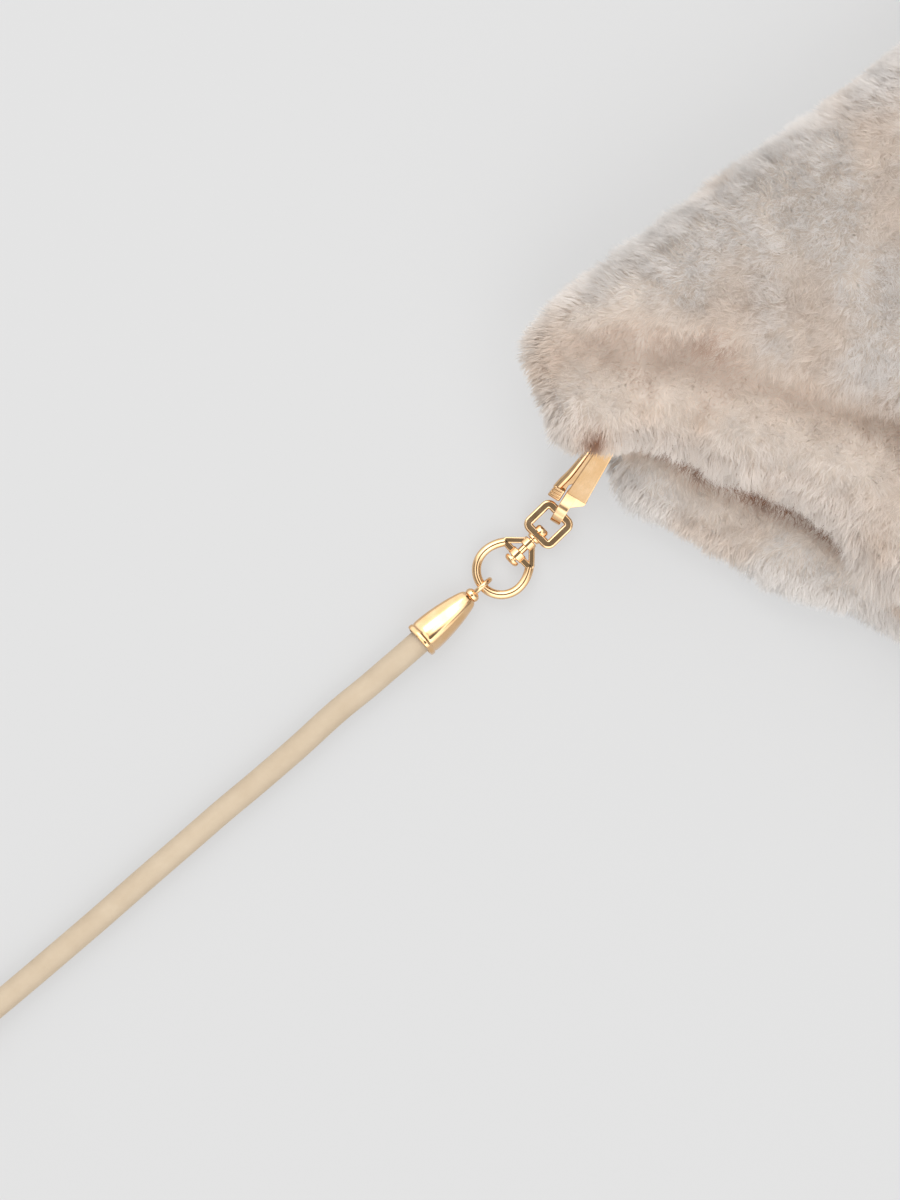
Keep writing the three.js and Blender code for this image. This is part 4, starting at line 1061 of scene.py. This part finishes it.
def lever_parts():
    """Sprung lever: arm along the clasp's left side and ribbed thumb knob"""
    arm = [(-1.85, 2.95), (-1.85, 7.85), (0.35, 10.15), (1.35, 15.0), (-0.45, 21.45), (-0.75, 24.82)]
    arm += [(-2.05, 24.82), (-2.35, 19.0), (-3.1, 11.3), (-4.31, 6.95), (-5.06, 2.99)]
    parts = [plate(arm, -0.65, 0.65, 0.18)]
    back = [(-4.0, 5.4, 0.15), (-3.6, 7.6, 0.2), (-3.0, 10.6, 0.2)]
    back += [(-2.55, 14.5, 0.15), (-2.1, 19, 0.1), (-1.6, 24.0, 0)]
    widths = np.interp(np.arange(41), (0, 10, 25, 38, 40), (1.15, 1.25, 1.0, 0.75, 0.5))
    parts.append(swept(spline_points(back, 8), bar_section(1.7, 1.9, 0.75), sizes=widths))
    parts.append(plate([(-5.1, 2.95), (-1.75, 2.95), (-1.75, 6.35), (-4.5, 6.35)], -1.5, 1.5, 0.4, 0.5))
    for y in (3.6, 4.45, 5.3):
        parts.append(rounded_bar((-4.75, y, 1.45), (-2.05, y, 1.45), 0.42, 0.5, 0.16))
    return parts


def link_parts():
    """Square link with a swelling collar, the post and its riveted head"""
    square = bar_section(7.6, 7.6, 1.2, 8)
    square = np.column_stack([square, np.zeros(len(square))])
    post = [(0.05, -13.4), (0.9, -13.3), (0.9, -4.4), (0.05, -4.3)]
    inner = [(0.05, -3.45), (1.3, -3.4), (1.7, -3.0), (1.7, -1.95)]
    inner += [(1.35, -1.5), (0.9, -1.4), (0.6, -1.7), (0.05, -1.75)]
    head = [(0.05, 0.42), (0.45, 0.3), (0.75, 0.02), (1.2, 0.0), (1.65, 0.2)]
    head += [(1.95, 0.6), (2.0, 0.95), (1.85, 1.3), (0.05, 1.3)]
    head = [(radius, RING_Y - 2.65 + y) for radius, y in head]
    turned_parts = [turned_part(profile) for profile in (bead(1.7, -5.5, -4.5, 0.35), post, inner, head)]
    return [swept(square, bar_section(2.2, 2.4, 0.55), closed=True)] + turned_parts


def ring_parts():
    """D-shaped ring: round bow, flat cross bar with its hub, two legs and the collar they meet in"""
    half, leg, arch = 6.15, 5.2, 6.25
    shoulder = [(half - 1.8 * share * share, leg * (share - 1)) for share in np.linspace(1, 0, 9)]
    turn = np.linspace(0, math.pi, 33)[1:-1]
    bow = shoulder + [(half * math.cos(a), -leg - arch * math.sin(a)) for a in turn]
    bow += [(-x, y) for x, y in reversed(shoulder)]
    line = np.array([(x, y + RING_Y, 0) for x, y in bow])
    parts = [swept(line, round_section(1.12, 24))]
    parts.append(rounded_bar((-5.1, RING_Y, 0), (5.1, RING_Y, 0), 1.7, 1.9, 0.35))
    for x in (-1, 1):
        parts.append(rounded_bar((x * 4.7, RING_Y + 0.3, 0), (x * 1.0, RING_Y + 4.0, 0), 1.5, 1.9, 0.3))
    hub = [(0.95, -1.05), (1.9, -1.05), (2.1, -0.85), (2.1, 0.85), (1.9, 1.05), (0.95, 1.05)]
    collar = [(radius * 0.86 if radius > 1.5 else radius, y + 3.8) for radius, y in hub]
    for profile in (hub, collar):
        parts.append((turned_part([(radius, y + RING_Y) for radius, y in profile])[0], True))
    return parts


def cap_ring(reach, y):
    """Section of the cap: a round square with one edge upward and a little to the right"""
    turn = full_turn(CAP_SIDES)
    soft = np.abs(np.cos(2 * (turn - math.radians(68))))
    radius = reach * (0.93 + 0.1 * soft**6)
    return np.stack([radius * np.cos(turn), np.full(CAP_SIDES, y), radius * np.sin(turn)], axis=-1)


def cap_parts():
    """Bell-shaped cord cap with rolled rim, neck bead and eye"""
    bore = 3.7
    rim = [(3.75, 3.0), (3.75, 0.25), (3.95, 0.05), (4.25, 0.0), (4.55, 0.15)]
    rim += [(4.66, 0.5), (4.66, 0.95), (4.55, 1.25), (4.35, 1.42)]
    shape = [(4.3, 1.5), (4.42, 1.75), (4.5, 2.6), (4.42, 4.6), (4.25, 6.6), (4.0, 8.6), (3.7, 10.4)]
    shape += [(3.38, 12.1), (3.05, 13.5), (2.76, 14.6), (2.5, 15.4)]
    shape += [(2.22, 15.95), (1.85, 16.3), (0.4, 16.35)]
    rings = np.array([cap_ring(reach, y) for reach, y in [(0.3, 3.05)] + rim + shape])
    for k, reach in enumerate((0.3, bore, bore)):
        rings[k][:, [0, 2]] = round_section(reach, CAP_SIDES)
    neck = [(0.3, 16.1), (1.3, 16.15), (1.75, 16.5), (1.9, 17.1), (1.75, 17.7), (1.2, 18.2), (0.3, 18.4)]
    eye = np.array([(0, 20.3 + 2.55 * math.cos(a), 2.55 * math.sin(a)) for a in full_turn(48)])
    eye = swept(eye, round_section(0.65, 16), upward=(1, 0, 0), closed=True)
    return [(rings, False), turned_part(neck), eye]


def loop_parts():
    """Leather loop that the hook holds, an upright oval band"""
    run, rise = on_circle(full_turn(64)).T
    run = 10.45 * np.sign(run) * np.abs(run) ** 0.8
    rise = 2.95 * np.sign(rise) * np.abs(rise) ** 0.75
    line = np.stack([np.zeros(64), run, rise], axis=-1)
    return [swept(line, bar_section(1.8, 1.1, 0.3), upward=(1, 0, 0), closed=True)]


def loop_place():
    """Matrix that hangs the leather loop in the hook's bend"""
    spin = placement((0, 0, 0), 6, 5.5)
    hook_top = CLASP_PLACE @ (Vector((1.19, 29.45, 0)) * MM)
    return Matrix.Translation(hook_top) @ spin @ Matrix.Translation(Vector((0, 7.74, 0)) * MM)


FITTINGS = (
    ("gold_clasp", "clasp_body", BODY, clasp_parts, CLASP_PLACE),
    ("gold_lever", "clasp_lever", LEVER_BODY, lever_parts, CLASP_PLACE),
    ("gold_link", "swivel_link", BODY, link_parts, SWIVEL_PLACE),
    ("gold_ring", "swivel_ring", BODY, ring_parts, SWIVEL_PLACE),
    ("gold_cap_near", "cord_cap_near", BODY, cap_parts, NEAR_CAP_PLACE),
    ("gold_cap_far", "cord_cap_far", BODY, cap_parts, FAR_CAP_PLACE),
)
fittings = {}
for name, node, body, parts_of, place in FITTINGS:
    piece = hard_piece(name, parts_of(), place)
    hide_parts(node)
    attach(piece, body)
    fittings[name] = piece
leather_loop = hard_piece("leather_loop", loop_parts(), loop_place())
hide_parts("hanger_loop")
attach(leather_loop, BODY)


def polished_gold():
    """Warm gold plate, its gloss a little uneven from handling"""
    material, tree, shader = plain_material("polished_gold")
    marks = add_node(tree, "Group", {"Smear Scale": 260.0, "Hairline Scale": 1500.0}, node_tree=handling)
    tone = add_ramp(tree, marks["Smears"], ((0.35, (0.76, 0.48, 0.24)), (0.7, (0.82, 0.57, 0.34))))
    spread = {"Value": marks["Smears"], "From Min": 0.3, "From Max": 0.75, "To Min": 0.07, "To Max": 0.2}
    gloss = add_node(tree, "MapRange", spread)
    add_bump(tree, shader, marks["Hairlines"], strength=0.04, distance=0.0001)
    feed(tree, shader, {"Base Color": tone, "Roughness": gloss["Result"], "Metallic": 1})
    return material


def grained_leather(name, light, dark, pebble_scale, roughness, strength):
    """Leather between two tones, with a pebbled grain and a gloss that handling made uneven"""
    material, tree, shader = plain_material(name)
    skin = add_node(tree, "Group", {"Pebble Scale": pebble_scale, "Tone Scale": 140.0}, node_tree=grain)
    marks = add_node(tree, "Group", {"Smear Scale": 90.0, "Hairline Scale": 700.0}, node_tree=handling)
    tone = add_ramp(tree, skin["Tone"], ((0.3, dark), (0.7, light)))
    spread = {"Value": marks["Smears"], "To Min": roughness - 0.1, "To Max": roughness + 0.1}
    gloss = add_node(tree, "MapRange", spread)
    add_bump(tree, shader, skin["Height"], strength, distance=0.0002)
    feed(tree, shader, {"Base Color": tone, "Roughness": gloss["Result"], "Specular IOR Level": 0.35})
    return material


gold = polished_gold()
for piece in fittings.values():
    piece.data.materials.append(gold)
beige, brown = ((0.47, 0.38, 0.275), (0.43, 0.34, 0.24)), ((0.36, 0.2, 0.12), (0.26, 0.135, 0.075))
leather_cord.data.materials.append(grained_leather("beige_cord_leather", *beige, 2200.0, 0.55, 0.12))
leather_loop.data.materials.append(grained_leather("brown_loop_leather", *brown, 1500.0, 0.5, 0.25))
